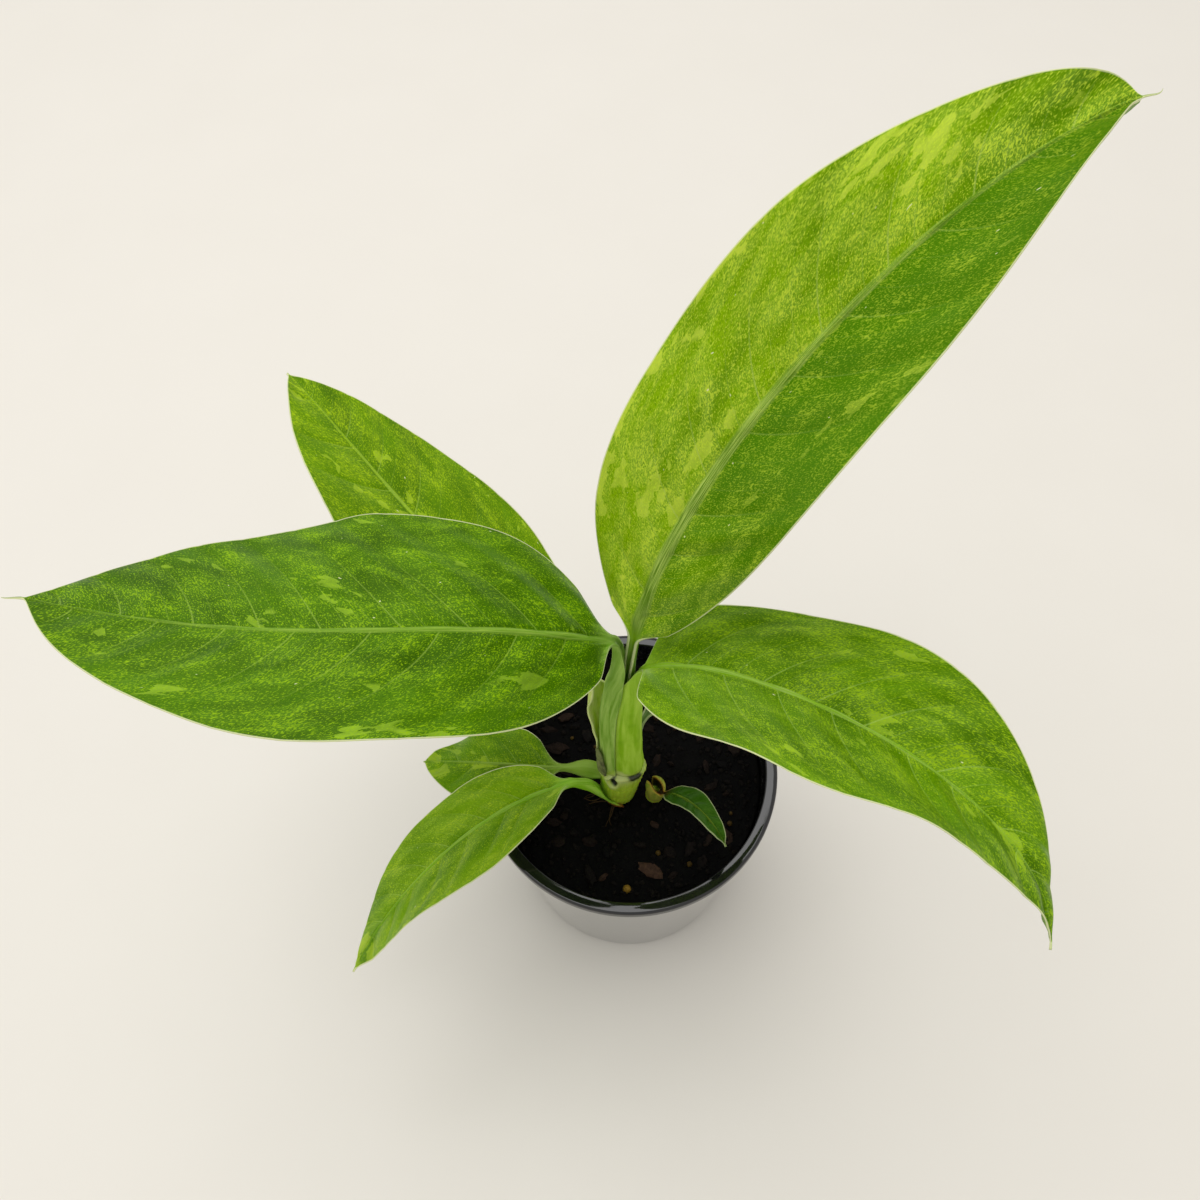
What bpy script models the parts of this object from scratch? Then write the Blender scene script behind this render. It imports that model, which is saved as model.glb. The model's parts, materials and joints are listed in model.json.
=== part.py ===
"""Potted dieffenbachia: a young aroid with seven leaves and an offshoot in a thin round nursery pot.

Sizes are in millimetres until a mesh is made, and the meshes are in metres, +Z up. The origin is
the middle of the pot's base, on the surface it stands on. The plant is seen best from -Y.
"""

import random
from dataclasses import dataclass
from math import cos, exp, pi, radians, sin, tau

import bmesh
import bpy
from mathutils import Matrix, Vector, noise

MM = 0.001

# Pot: thin walled and tapered, with a flat collar turned down at its edge
POT_HEIGHT = 90.0
POT_BASE_RADIUS = 42.0
POT_MOUTH_RADIUS = 49.3
POT_WALL = 1.0
POT_FLOOR = 1.2
POT_FOOT_ROUNDING = 0.6
POT_INNER_CORNER = 1.0
COLLAR_RADIUS = 52.5
COLLAR_DROP = 3.4
COLLAR_ROUNDING = 1.1
POT_SEGMENTS = 80
DRAIN_HOLES = 6
DRAIN_RADIUS = 4.0
DRAIN_RING_RADIUS = 30.0
DRAIN_SEGMENTS = 16
CUTTER_OVERSHOOT = 2.0

# Potting mix of bark and peat, with slow-release fertiliser prills
SOIL_HEIGHT = 79.5
SOIL_RELIEF = 1.4
SOIL_RELIEF_SPAN = 11.0
SOIL_FINE_SHARE = 0.6  # of a finer relief laid over the first
SOIL_FINE_RATE = 2.6
# The mix is level within the first distance of each place and rough beyond the second
LEVEL_AT_STEM = (9.0, 15.0)
LEVEL_AT_OFFSHOOT = (5.0, 9.0)
LEVEL_AT_WALL = (0.0, 5.0)
SOIL_FOOT_INSET = 1.0
SOIL_RINGS = 15
SOIL_SEGMENTS = 60
SOIL_GAP = 0.3
CHIP_COUNT = 40
CHIP_LENGTHS = (4.0, 10.0)
CHIP_WIDTH_SHARES = (0.35, 0.6)
CHIP_THICKNESSES = (1.6, 2.6)
CHIP_TILT = 14.0
CHIP_SPACING = 6.5
PRILL_COUNT = 10
PRILL_RADIUS = 1.5
PRILL_SPACING = 4.0
MIX_REACH = 41.0
MIX_CLEAR_OF_STEM = 15.0
MIX_CLEAR_OF_OFFSHOOT = 11.0
MIX_SEED = 11
BROWN_CHIP_PLACE = (5.6, -34.9)
BROWN_CHIP_SIZE = (9.0, 4.6, 2.2)
BROWN_CHIP_YAW = -28.0
YELLOW_PRILL_PLACE = (-2.7, -41.0)

# Cane: the true stem, with the leaf stalks wrapped round its top
STEM_PLACE = (-2.6, -5.4)
STEM_LEAN = (1.8, 0.6)
LEAN_SPAN = (140.0, 185.0)
# The wrapped stalks press each other flat from front to back
STEM_FLATNESS = 0.30
FLAT_START = (90.0, 104.0)
FLAT_END = (165.0, 186.0)
FLAT_REACH = (9.0, 16.0)
CANE_PROFILE = (
    # radius, height
    (4.9, 62.0),
    (5.2, 64.0),
    (5.2, 79.6),
    (5.9, 81.5),
    (6.4, 87.0),
    (6.9, 96.0),
    (7.8, 101.5),
    (8.3, 103.6),
    (8.1, 104.8),
    (3.4, 105.0),
    (3.0, 110.0),
    (1.6, 112.8),
)
PEG_PROFILE = ((3.0, 68.0), (3.2, 69.0), (3.2, 80.6), (1.7, 81.0), (1.3, 85.0))
OFFSHOOT_PLACE = (8.8, -7.3)
CANE_SEGMENTS = 24
PEG_SEGMENTS = 16
HOLE_CLEARANCE = 0.3
HOLE_DEPTH_CLEARANCE = 0.4
HOLE_CUTTER_TOP = 95.0

# Blades
BLADE_THICKNESS = 0.7
RIB_SPREAD = 1.7  # how far the midrib's swelling reaches to each side
TIP_HALF_WIDTH = 0.4
JOIN_LENGTH = 9.0  # over which a stalk opens into its blade
SHEATH_EDGE_POWER = 2.5  # how fast a sheath thins from its keel to its free edges
SHEATH_STEP = 9.0  # greatest height between two rows of a sheath
RIB_THINNING = 0.8  # of the midrib's height, lost from the base to the tip
RIB_END = 0.9  # share of the blade where the midrib starts to fade out
WAVE_ONSET = 4.0  # how soon a margin's wave reaches its full height as the blade widens

# Where the columns of a blade lie, from the midrib to the margin
LARGE_COLUMNS = (0.0, 0.06, 0.3, 0.62, 1.0)
SMALL_COLUMNS = (0.0, 0.12, 0.55, 1.0)


@dataclass
class Wave:
    """The rise and fall of one margin: height, crests along the blade and where they start."""

    height: float
    crests: float
    start: float


@dataclass
class Ring:
    """One level of a sheath or stalk, a crescent in section, open towards the upper side.

    wrap is the angle from the keel to each free edge, in degrees.
    """

    height: float
    inner_radius: float
    wrap: float
    keel_wall: float
    edge_wall: float


@dataclass
class Leaf:
    """One leaf, from the foot of its sheath to its tip.

    midrib is a Bezier curve: blade base, two handles and tip.
    roll is about the midrib at the base, the middle and the tip, and fold is how far each half
    is raised at the base and at the tip, all in degrees.
    """

    name: str
    midrib: tuple
    half_width: float
    roll: tuple
    fold: tuple
    sheath: tuple
    stalk: Ring
    left_wave: Wave
    right_wave: Wave
    wider_right: float = 0.0
    curl: float = 0.09
    base_fullness: float = 0.66
    tip_fullness: float = 0.8
    tip_taper: float = 0.03
    rib: float = 1.5
    place: tuple = STEM_PLACE
    keel_turn: float = 0.0  # degrees from the blade's heading round to its keel on the stem
    stalk_handles: tuple = (0.4, 0.4)
    stalk_stations: int = 5
    blade_stations: int = 26
    columns: tuple = LARGE_COLUMNS


LEAVES = (
    Leaf(
        name="leaf_upright",
        midrib=((0.8, -4.7, 193), (9, 10, 250.5), (64.5, 40, 308), (101.5, 43.5, 320.5)),
        half_width=29.2,
        roll=(-20, -19, -1),
        fold=(19, 40),
        sheath=(
            Ring(113.2, 0.8, 100, 2.0, 1.3),
            Ring(150.0, 0.8, 100, 2.0, 1.3),
            Ring(174.0, 0.9, 95, 1.6, 1.0),
        ),
        stalk=Ring(193.5, 0.9, 85, 1.6, 0.8),
        left_wave=Wave(-1.7, 2.7, 0.03),
        right_wave=Wave(4.8, 1.7, 0.52),
        base_fullness=0.66,
        tip_fullness=0.63,
        tip_taper=0.005,
        rib=2.0,
        blade_stations=28,
    ),
    Leaf(
        name="leaf_left",
        midrib=((-4.6, -6.2, 197), (-56, -24, 253), (-75, -23, 226), (-150, -3, 227.5)),
        half_width=33.8,
        roll=(0, -9, -17),
        fold=(1, 3),
        sheath=(
            Ring(105.3, 6.1, 68, 1.3, 0.7),
            Ring(125.0, 6.0, 68, 1.3, 0.7),
            Ring(150.0, 5.8, 72, 1.2, 0.7),
            Ring(168.0, 5.1, 79, 1.1, 0.7),
            Ring(178.0, 3.6, 78, 1.2, 0.7),
        ),
        stalk=Ring(197.0, 0.9, 80, 1.6, 0.8),
        left_wave=Wave(0.9, 2.9, 0.13),
        right_wave=Wave(-0.8, 3.1, 0.28),
        wider_right=0.13,
        stalk_handles=(0.5, 0.12),
        base_fullness=0.63,
        tip_fullness=0.77,
        tip_taper=0.02,
    ),
    Leaf(
        name="leaf_right",
        midrib=((3.3, -7.5, 181.5), (21, -9, 204), (99, -56.5, 214), (94.5, -90, 192)),
        half_width=28.6,
        roll=(-3, 6, 12),
        fold=(21, 39),
        sheath=(
            Ring(105.3, 4.0, 125, 3.4, 0.7),
            Ring(111.0, 4.0, 125, 4.0, 0.7),
            Ring(122.0, 4.0, 125, 3.2, 0.7),
            Ring(148.0, 4.0, 120, 2.6, 0.7),
            Ring(162.0, 4.0, 96, 2.0, 0.7),
        ),
        stalk=Ring(181.5, 0.9, 80, 1.6, 0.8),
        left_wave=Wave(4.2, 1.7, 0.28),
        right_wave=Wave(1.9, 2.9, -0.7),
        wider_right=0.06,
        stalk_handles=(0.4, 0.15),
        curl=0.11,
        base_fullness=0.52,
        tip_fullness=0.84,
        tip_taper=0.07,
        stalk_stations=4,
    ),
    Leaf(
        name="leaf_rear",
        midrib=((-12, 1, 164), (-46.5, 19, 183), (-70, 52, 198.5), (-98, 82, 209.5)),
        half_width=26.6,
        roll=(-14, -17, -25),
        fold=(13.5, 7),
        sheath=(
            Ring(105.3, 7.8, 28, 1.0, 0.7),
            Ring(124.0, 7.8, 28, 1.1, 0.7),
            Ring(134.0, 8.9, 26, 1.3, 0.7),
            Ring(148.0, 10.3, 26, 1.3, 0.6),
        ),
        stalk=Ring(164.0, 1.0, 75, 1.5, 0.8),
        left_wave=Wave(1.1, 3.1, 0.15),
        right_wave=Wave(0.8, 1.9, 0.49),
        keel_turn=8.0,
        stalk_handles=(0.3, 0.15),
        curl=0.08,
        base_fullness=0.67,
        tip_fullness=0.86,
        tip_taper=0.01,
        blade_stations=22,
    ),
    Leaf(
        name="leaf_low_front",
        midrib=((-20, -10.5, 103), (-51.5, -17, 106), (-83, -41, 86.5), (-99, -61.5, 64)),
        half_width=18.9,
        roll=(-19, -24, -21),
        fold=(13, 10),
        sheath=(
            Ring(81.2, 6.3, 90, 1.0, 0.7),
            Ring(83.6, 6.6, 66, 1.1, 0.7),
            Ring(86.0, 7.3, 26, 1.3, 0.7),
        ),
        stalk=Ring(103.0, 1.3, 75, 1.5, 0.8),
        left_wave=Wave(2.1, 1.5, 0.27),
        right_wave=Wave(-0.7, 2.3, 0.32),
        keel_turn=-3.0,
        stalk_handles=(0.12, 0.12),
        base_fullness=0.65,
        tip_fullness=0.96,
        tip_taper=0.04,
        blade_stations=20,
    ),
    Leaf(
        name="leaf_low_rear",
        midrib=((-23.2, -1.3, 93.5), (-40.6, -1.8, 100), (-58.8, 3.3, 93.5), (-74, 6.8, 85)),
        half_width=15.2,
        roll=(-5, -5, -10),
        fold=(6, -1),
        sheath=(
            Ring(87.4, 7.1, 22, 1.0, 0.7),
            Ring(89.4, 7.3, 20, 1.1, 0.7),
        ),
        stalk=Ring(93.5, 0.9, 70, 1.3, 0.7),
        left_wave=Wave(0.7, 2.4, 0.0),
        right_wave=Wave(1.1, 2.9, -0.53),
        keel_turn=-20.0,
        stalk_handles=(0.15, 0.2),
        curl=0.12,
        base_fullness=0.69,
        tip_fullness=0.88,
        tip_taper=0.02,
        rib=1.2,
        blade_stations=14,
        columns=SMALL_COLUMNS,
    ),
    Leaf(
        name="leaf_behind",
        midrib=((5, 4.5, 124), (14, 9, 132), (26, 17, 134), (38, 23, 130)),
        half_width=8.5,
        roll=(0, 0, 0),
        fold=(14, 8),
        sheath=(
            Ring(105.3, 8.0, 16, 1.0, 0.7),
            Ring(111.0, 8.2, 14, 1.1, 0.7),
        ),
        stalk=Ring(124.0, 0.8, 70, 1.2, 0.7),
        left_wave=Wave(0.5, 2.2, 0.1),
        right_wave=Wave(0.6, 2.6, 0.4),
        keel_turn=32.0,
        stalk_handles=(0.3, 0.2),
        rib=1.0,
        blade_stations=12,
        stalk_stations=3,
        columns=SMALL_COLUMNS,
    ),
    Leaf(
        name="offshoot_leaf",
        midrib=((11.4, -11.8, 91.8), (16, -14.7, 104), (25, -24, 111), (29.6, -36.7, 109.5)),
        half_width=5.3,
        roll=(-6, 13, 21),
        fold=(21, 25),
        sheath=(
            Ring(81.4, 2.2, 158, 1.2, 0.8),
            Ring(85.0, 2.3, 160, 1.2, 0.8),
            Ring(88.5, 2.5, 158, 1.1, 0.8),
        ),
        stalk=Ring(91.8, 0.6, 75, 1.1, 0.7),
        left_wave=Wave(0.5, 2.4, 0.11),
        right_wave=Wave(0.6, 2.2, 0.0),
        curl=0.05,
        base_fullness=0.63,
        tip_fullness=0.88,
        rib=0.9,
        place=OFFSHOOT_PLACE,
        blade_stations=12,
        stalk_stations=4,
        columns=SMALL_COLUMNS,
    ),
)

# A withered sheath left on the stem by a leaf that has dropped
DRY_SHEATH_HEADING = 201.0
DRY_SHEATH_STEP = 6.0
DRY_SHEATH = (
    Ring(105.3, 7.8, 24, 0.8, 0.7),
    Ring(112.0, 7.9, 24, 0.8, 0.7),
    Ring(119.0, 8.0, 16, 0.8, 0.7),
    Ring(125.0, 8.2, 5, 0.8, 0.7),
)


def clear_scene():
    """Remove every object that the file opens with."""
    for old in list(bpy.data.objects):
        bpy.data.objects.remove(old, do_unlink=True)


def material(name, colour, roughness, metallic=0.0):
    """A Principled material with one colour."""
    made = bpy.data.materials.new(name)
    made.use_nodes = True
    shader = made.node_tree.nodes["Principled BSDF"]
    shader.inputs["Base Color"].default_value = (*colour, 1.0)
    shader.inputs["Roughness"].default_value = roughness
    shader.inputs["Metallic"].default_value = metallic
    return made


def add_object(name, mesh, finish, sharp_angle=40.0):
    """Link a mesh as one smooth-shaded object with its finish."""
    made = bpy.data.objects.new(name, mesh)
    bpy.context.scene.collection.objects.link(made)
    mesh.materials.clear()
    mesh.materials.append(finish)
    mesh.shade_smooth()
    mesh.set_sharp_from_angle(angle=radians(sharp_angle))
    return made


def mesh_of(name, points, faces):
    """A mesh in metres from points in millimetres."""
    made = bpy.data.meshes.new(name)
    made.from_pydata([Vector(p) * MM for p in points], [], faces)
    made.update()
    return made


def smoothstep(value):
    """A soft step from 0 to 1."""
    value = min(1.0, max(0.0, value))
    return value * value * (3 - 2 * value)


def ramp(value, limits):
    """A soft step from 0 at the first limit to 1 at the second."""
    return smoothstep((value - limits[0]) / (limits[1] - limits[0]))


def mix(a, b, share):
    """The value that lies a share of the way from a to b."""
    return a + (b - a) * share


# Turned pieces


def turned(name, profile, segments, centre=(0.0, 0.0), closed_loop=False):
    """Spin (radius, height) points round Z. A profile that runs up its outside faces outwards."""
    points = []
    for radius, height in profile:
        for k in range(segments):
            angle = tau * k / segments
            x = centre[0] + radius * cos(angle)
            y = centre[1] + radius * sin(angle)
            points.append(Vector((x, y, height)))
    faces = []
    rows = len(profile)
    bands = rows if closed_loop else rows - 1
    for row in range(bands):
        low = row * segments
        high = (row + 1) % rows * segments
        for k in range(segments):
            after = (k + 1) % segments
            faces.append((low + k, low + after, high + after, high + k))
    if not closed_loop:
        faces.append(tuple(reversed(range(segments))))
        top = (rows - 1) * segments
        faces.append(tuple(range(top, top + segments)))
    return mesh_of(name, points, faces)


def rounded_corner(centre, radius, start, steps):
    """Points of a quarter round in the profile's plane, turning left from the start angle."""
    turned_points = []
    for k in range(steps + 1):
        angle = radians(start + 90.0 * k / steps)
        turned_points.append((centre[0] + radius * cos(angle), centre[1] + radius * sin(angle)))
    return turned_points


def pot_wall_radius(height):
    """Radius of the pot's outer wall at a height."""
    return mix(POT_BASE_RADIUS, POT_MOUTH_RADIUS, height / POT_HEIGHT)


def pot_outside():
    """The pot's outer form, collar and all, with a flat top."""
    under_collar = POT_HEIGHT - POT_WALL
    collar_foot = POT_HEIGHT - COLLAR_DROP
    skirt = COLLAR_RADIUS - POT_WALL
    edge = (COLLAR_RADIUS - COLLAR_ROUNDING, POT_HEIGHT - COLLAR_ROUNDING)
    inner_edge = pot_wall_radius(POT_HEIGHT) - POT_WALL
    lip = (inner_edge + COLLAR_ROUNDING / 2, POT_HEIGHT - COLLAR_ROUNDING / 2)
    profile = [(POT_BASE_RADIUS - POT_FOOT_ROUNDING, 0.0), (POT_BASE_RADIUS, POT_FOOT_ROUNDING)]
    profile.append((pot_wall_radius(collar_foot), collar_foot))
    profile.append((pot_wall_radius(under_collar), under_collar))
    profile.append((skirt, under_collar))
    profile.append((skirt, collar_foot))
    profile.append((COLLAR_RADIUS, collar_foot))
    profile += rounded_corner(edge, COLLAR_ROUNDING, 0, 3)
    profile += rounded_corner(lip, COLLAR_ROUNDING / 2, 90, 2)
    inner_foot = pot_wall_radius(POT_FLOOR) - POT_WALL
    profile.append((inner_foot, POT_FLOOR + POT_INNER_CORNER))
    profile.append((inner_foot - POT_INNER_CORNER, POT_FLOOR))
    return profile


def make_pot(finish):
    """The nursery pot, with drainage holes through its floor."""
    mesh = turned("pot", pot_outside(), POT_SEGMENTS)
    pot = add_object("pot", mesh, finish)
    cutters = []
    for k in range(DRAIN_HOLES):
        angle = tau * (k + 0.5) / DRAIN_HOLES
        place = (DRAIN_RING_RADIUS * cos(angle), DRAIN_RING_RADIUS * sin(angle))
        profile = ((DRAIN_RADIUS, -CUTTER_OVERSHOOT), (DRAIN_RADIUS, POT_FLOOR + CUTTER_OVERSHOOT))
        cutters.append(turned("drain_cutter", profile, DRAIN_SEGMENTS, place))
    cut(pot, cutters)
    return pot


# Booleans


def collection_of(name, meshes):
    """Hidden objects in a collection of their own, for a Boolean."""
    group = bpy.data.collections.new(name)
    bpy.context.scene.collection.children.link(group)
    for mesh in meshes:
        part = bpy.data.objects.new(mesh.name, mesh)
        part.hide_render = True
        part.display_type = "WIRE"
        group.objects.link(part)
    return group


def apply_boolean(target, meshes, operation):
    """Join or cut a collection of meshes, then remove them."""
    group = collection_of(target.name + "_tools", meshes)
    step = target.modifiers.new("boolean", "BOOLEAN")
    step.operation = operation
    step.operand_type = "COLLECTION"
    step.collection = group
    step.solver = "EXACT"
    bpy.context.view_layer.update()
    graph = bpy.context.evaluated_depsgraph_get()
    result = bpy.data.meshes.new_from_object(target.evaluated_get(graph))
    target.modifiers.remove(step)
    target.data = result
    for part in list(group.objects):
        bpy.data.objects.remove(part, do_unlink=True)
    bpy.data.collections.remove(group)


def cut(target, meshes):
    """Cut meshes out of an object."""
    apply_boolean(target, meshes, "DIFFERENCE")


def fuse(target, meshes):
    """Join meshes to an object."""
    apply_boolean(target, meshes, "UNION")


# Potting mix


def soil_wall_radius(height):
    """Radius of the potting mix at a height, just inside the pot."""
    return pot_wall_radius(height) - POT_WALL - SOIL_GAP


def soil_height(x, y):
    """Height of the potting mix, level round the stem and at the wall."""
    from_stem = Vector((x - STEM_PLACE[0], y - STEM_PLACE[1])).length
    from_offshoot = Vector((x - OFFSHOOT_PLACE[0], y - OFFSHOOT_PLACE[1])).length
    from_wall = soil_wall_radius(SOIL_HEIGHT) - Vector((x, y)).length
    share = ramp(from_stem, LEVEL_AT_STEM)
    share *= ramp(from_offshoot, LEVEL_AT_OFFSHOOT)
    share *= ramp(from_wall, LEVEL_AT_WALL)
    place = Vector((x, y, 0.0)) / SOIL_RELIEF_SPAN
    rise = noise.noise(place)
    rise += SOIL_FINE_SHARE * noise.noise(place * SOIL_FINE_RATE)
    return SOIL_HEIGHT + share * SOIL_RELIEF * rise


def soil_mesh():
    """The body of the mix: a tapered plug with a rough top."""
    floor = POT_FLOOR + SOIL_GAP
    points = [(0.0, 0.0, soil_height(0.0, 0.0))]
    for ring in range(1, SOIL_RINGS + 1):
        radius = soil_wall_radius(SOIL_HEIGHT) * ring / SOIL_RINGS
        for k in range(SOIL_SEGMENTS):
            angle = tau * (k + 0.5 * (ring % 2)) / SOIL_SEGMENTS
            x = radius * cos(angle)
            y = radius * sin(angle)
            points.append((x, y, soil_height(x, y)))
    top_edge = len(points) - SOIL_SEGMENTS
    for k in range(SOIL_SEGMENTS):
        angle = tau * (k + 0.5 * (SOIL_RINGS % 2)) / SOIL_SEGMENTS
        radius = soil_wall_radius(floor) - SOIL_FOOT_INSET
        points.append((radius * cos(angle), radius * sin(angle), floor))
    foot = top_edge + SOIL_SEGMENTS
    faces = []
    for k in range(SOIL_SEGMENTS):
        after = (k + 1) % SOIL_SEGMENTS
        faces.append((0, 1 + k, 1 + after))
        faces.append((top_edge + k, foot + k, foot + after, top_edge + after))
    for ring in range(1, SOIL_RINGS):
        near = 1 + (ring - 1) * SOIL_SEGMENTS
        far = near + SOIL_SEGMENTS
        shift = ring % 2
        for k in range(SOIL_SEGMENTS):
            after = (k + 1) % SOIL_SEGMENTS
            if shift:
                faces.append((near + k, far + k, far + after))
                faces.append((near + k, far + after, near + after))
            else:
                faces.append((near + k, far + k, near + after))
                faces.append((near + after, far + k, far + after))
    faces.append(tuple(reversed(range(foot, foot + SOIL_SEGMENTS))))
    return mesh_of("soil", points, faces)


def chip_mesh(draw, place, size, yaw):
    """One flat bark chip with uneven corners, sunk to half its thickness."""
    form = bmesh.new()
    bmesh.ops.create_cube(form, size=1.0)
    for corner in form.verts:
        corner.co.x *= size[0] * draw.uniform(0.75, 1.1)
        corner.co.y *= size[1] * draw.uniform(0.7, 1.15)
        corner.co.z *= size[2] * draw.uniform(0.8, 1.2)
    tilt = Matrix.Rotation(radians(draw.uniform(-CHIP_TILT, CHIP_TILT)), 4, "Y")
    tilt @= Matrix.Rotation(radians(draw.uniform(-CHIP_TILT, CHIP_TILT)), 4, "X")
    seat = Vector((*place, soil_height(*place) + 0.1 * size[2]))
    form.transform(Matrix.Translation(seat) @ Matrix.Rotation(yaw, 4, "Z") @ tilt)
    bmesh.ops.triangulate(form, faces=form.faces)
    form.transform(Matrix.Scale(MM, 4))
    made = bpy.data.meshes.new("chip")
    form.to_mesh(made)
    form.free()
    return made


def prill_mesh(place, radius):
    """One round fertiliser prill, sunk by a third."""
    form = bmesh.new()
    bmesh.ops.create_icosphere(form, subdivisions=1, radius=radius)
    seat = Vector((*place, soil_height(*place) + 0.4 * radius))
    form.transform(Matrix.Translation(seat))
    form.transform(Matrix.Scale(MM, 4))
    made = bpy.data.meshes.new("prill")
    form.to_mesh(made)
    form.free()
    return made


def free_place(draw, taken, clearance):
    """A spot on the mix that keeps clear of the stem, the wall and what lies there."""
    while True:
        angle = draw.uniform(0, tau)
        radius = MIX_REACH * draw.random() ** 0.5
        place = Vector((radius * cos(angle), radius * sin(angle)))
        from_stem = (place - Vector(STEM_PLACE)).length
        from_offshoot = (place - Vector(OFFSHOOT_PLACE)).length
        if from_stem < MIX_CLEAR_OF_STEM or from_offshoot < MIX_CLEAR_OF_OFFSHOOT:
            continue
        if all((place - other).length > clearance for other in taken):
            taken.append(place)
            return (place.x, place.y)


def make_soil(finish):
    """The potting mix, its chips and prills in one body, with holes for the stems."""
    draw = random.Random(MIX_SEED)
    brown = Vector(BROWN_CHIP_PLACE)
    yellow = Vector(YELLOW_PRILL_PLACE)
    taken = [brown, yellow]
    loose = [chip_mesh(draw, BROWN_CHIP_PLACE, BROWN_CHIP_SIZE, radians(BROWN_CHIP_YAW))]
    for _ in range(CHIP_COUNT):
        length = draw.uniform(*CHIP_LENGTHS)
        width = length * draw.uniform(*CHIP_WIDTH_SHARES)
        size = (length, width, draw.uniform(*CHIP_THICKNESSES))
        place = free_place(draw, taken, CHIP_SPACING)
        loose.append(chip_mesh(draw, place, size, draw.uniform(0, tau)))
    loose.append(prill_mesh(YELLOW_PRILL_PLACE, PRILL_RADIUS))
    for _ in range(PRILL_COUNT):
        place = free_place(draw, taken, PRILL_SPACING)
        loose.append(prill_mesh(place, PRILL_RADIUS * draw.uniform(0.7, 0.95)))
    soil = add_object("soil", soil_mesh(), finish)
    fuse(soil, loose)
    holes = []
    for profile, place in ((CANE_PROFILE, STEM_PLACE), (PEG_PROFILE, OFFSHOOT_PLACE)):
        radius = profile[1][0] + HOLE_CLEARANCE
        foot = profile[0][1] - HOLE_DEPTH_CLEARANCE
        walls = ((radius, foot), (radius, HOLE_CUTTER_TOP))
        holes.append(turned("stem_hole", walls, CANE_SEGMENTS, place))
    cut(soil, holes)
    return soil


# Leaves


def stem_axis(height, place):
    """Where the middle of the wrapped stalks is at a height."""
    lean = ramp(height, LEAN_SPAN)
    return Vector((place[0] + STEM_LEAN[0] * lean, place[1] + STEM_LEAN[1] * lean, height))


def flattened(point):
    """A point of the plant, pressed towards the stem's middle plane where the stalks are wrapped."""
    middle = stem_axis(point.z, STEM_PLACE)
    from_axis = Vector((point.x - middle.x, point.y - middle.y)).length
    level = ramp(point.z, FLAT_START) * (1.0 - ramp(point.z, FLAT_END))
    near = 1.0 - ramp(from_axis, FLAT_REACH)
    press = 1.0 - STEM_FLATNESS * level * near
    return Vector((point.x, middle.y + (point.y - middle.y) * press, point.z))


def bezier(handles, share):
    """A point on a cubic Bezier curve."""
    a, b, c, d = (Vector(p) for p in handles)
    rest = 1.0 - share
    return a * rest**3 + b * (3 * rest * rest * share) + c * (3 * rest * share * share) + d * share**3


def even_bezier(handles, count):
    """Points at even lengths along a Bezier curve."""
    fine = [bezier(handles, k / 200) for k in range(201)]
    lengths = [0.0]
    for before, after in zip(fine, fine[1:]):
        lengths.append(lengths[-1] + (after - before).length)
    found = []
    at = 0
    for k in range(count):
        target = lengths[-1] * k / (count - 1)
        while at < 199 and lengths[at + 1] < target:
            at += 1
        span = lengths[at + 1] - lengths[at]
        found.append(fine[at].lerp(fine[at + 1], (target - lengths[at]) / span))
    return found


def ring_between(low, high, share):
    """The ring a share of the way between two others."""
    return Ring(
        mix(low.height, high.height, share),
        mix(low.inner_radius, high.inner_radius, share),
        mix(low.wrap, high.wrap, share),
        mix(low.keel_wall, high.keel_wall, share),
        mix(low.edge_wall, high.edge_wall, share),
    )


def filled_sheath(rings, step=SHEATH_STEP):
    """The rings of a sheath, with more between those that lie far apart."""
    found = [rings[0]]
    for low, high in zip(rings, rings[1:]):
        count = max(1, round((high.height - low.height) / step))
        for k in range(1, count + 1):
            found.append(ring_between(low, high, smoothstep(k / count)))
            found[-1].height = mix(low.height, high.height, k / count)
    return found


def blade_outline(leaf):
    """A function from a share of the length to a share of the half width."""

    def raw(share):
        taper = 1.0 - exp(-(1.0 - share) / leaf.tip_taper)
        return share**leaf.base_fullness * (1.0 - share) ** leaf.tip_fullness * taper

    widest = max(raw(k / 400) for k in range(400))
    return lambda share: raw(min(share, 1.0)) / widest


def roll_at(leaf, share):
    """The roll about the midrib, through its three values."""
    base, middle, tip = leaf.roll
    square = 2 * (base + tip - 2 * middle)
    return radians(base + (tip - base - square) * share + square * share * share)


def frame_at(along, side, roll):
    """The side and upper directions across a leaf whose length runs along."""
    level = (side - along * side.dot(along)).normalized()
    upper = level.cross(along)
    right = level * cos(roll) + upper * sin(roll)
    return right, upper * cos(roll) - level * sin(roll)


def crescent(middle, right, upper, ring, places):
    """Upper and lower points of a sheath or stalk, from its left free edge to its right one."""
    centre = middle + upper * ring.inner_radius
    tops = []
    lows = []
    for place in places:
        angle = radians(ring.wrap) * place
        out = right * sin(angle) - upper * cos(angle)
        swell = max(0.0, cos(pi * place / 2)) ** SHEATH_EDGE_POWER
        wall = mix(ring.edge_wall, ring.keel_wall, swell)
        tops.append(centre + out * ring.inner_radius)
        lows.append(centre + out * (ring.inner_radius + wall))
    return tops, lows


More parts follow.
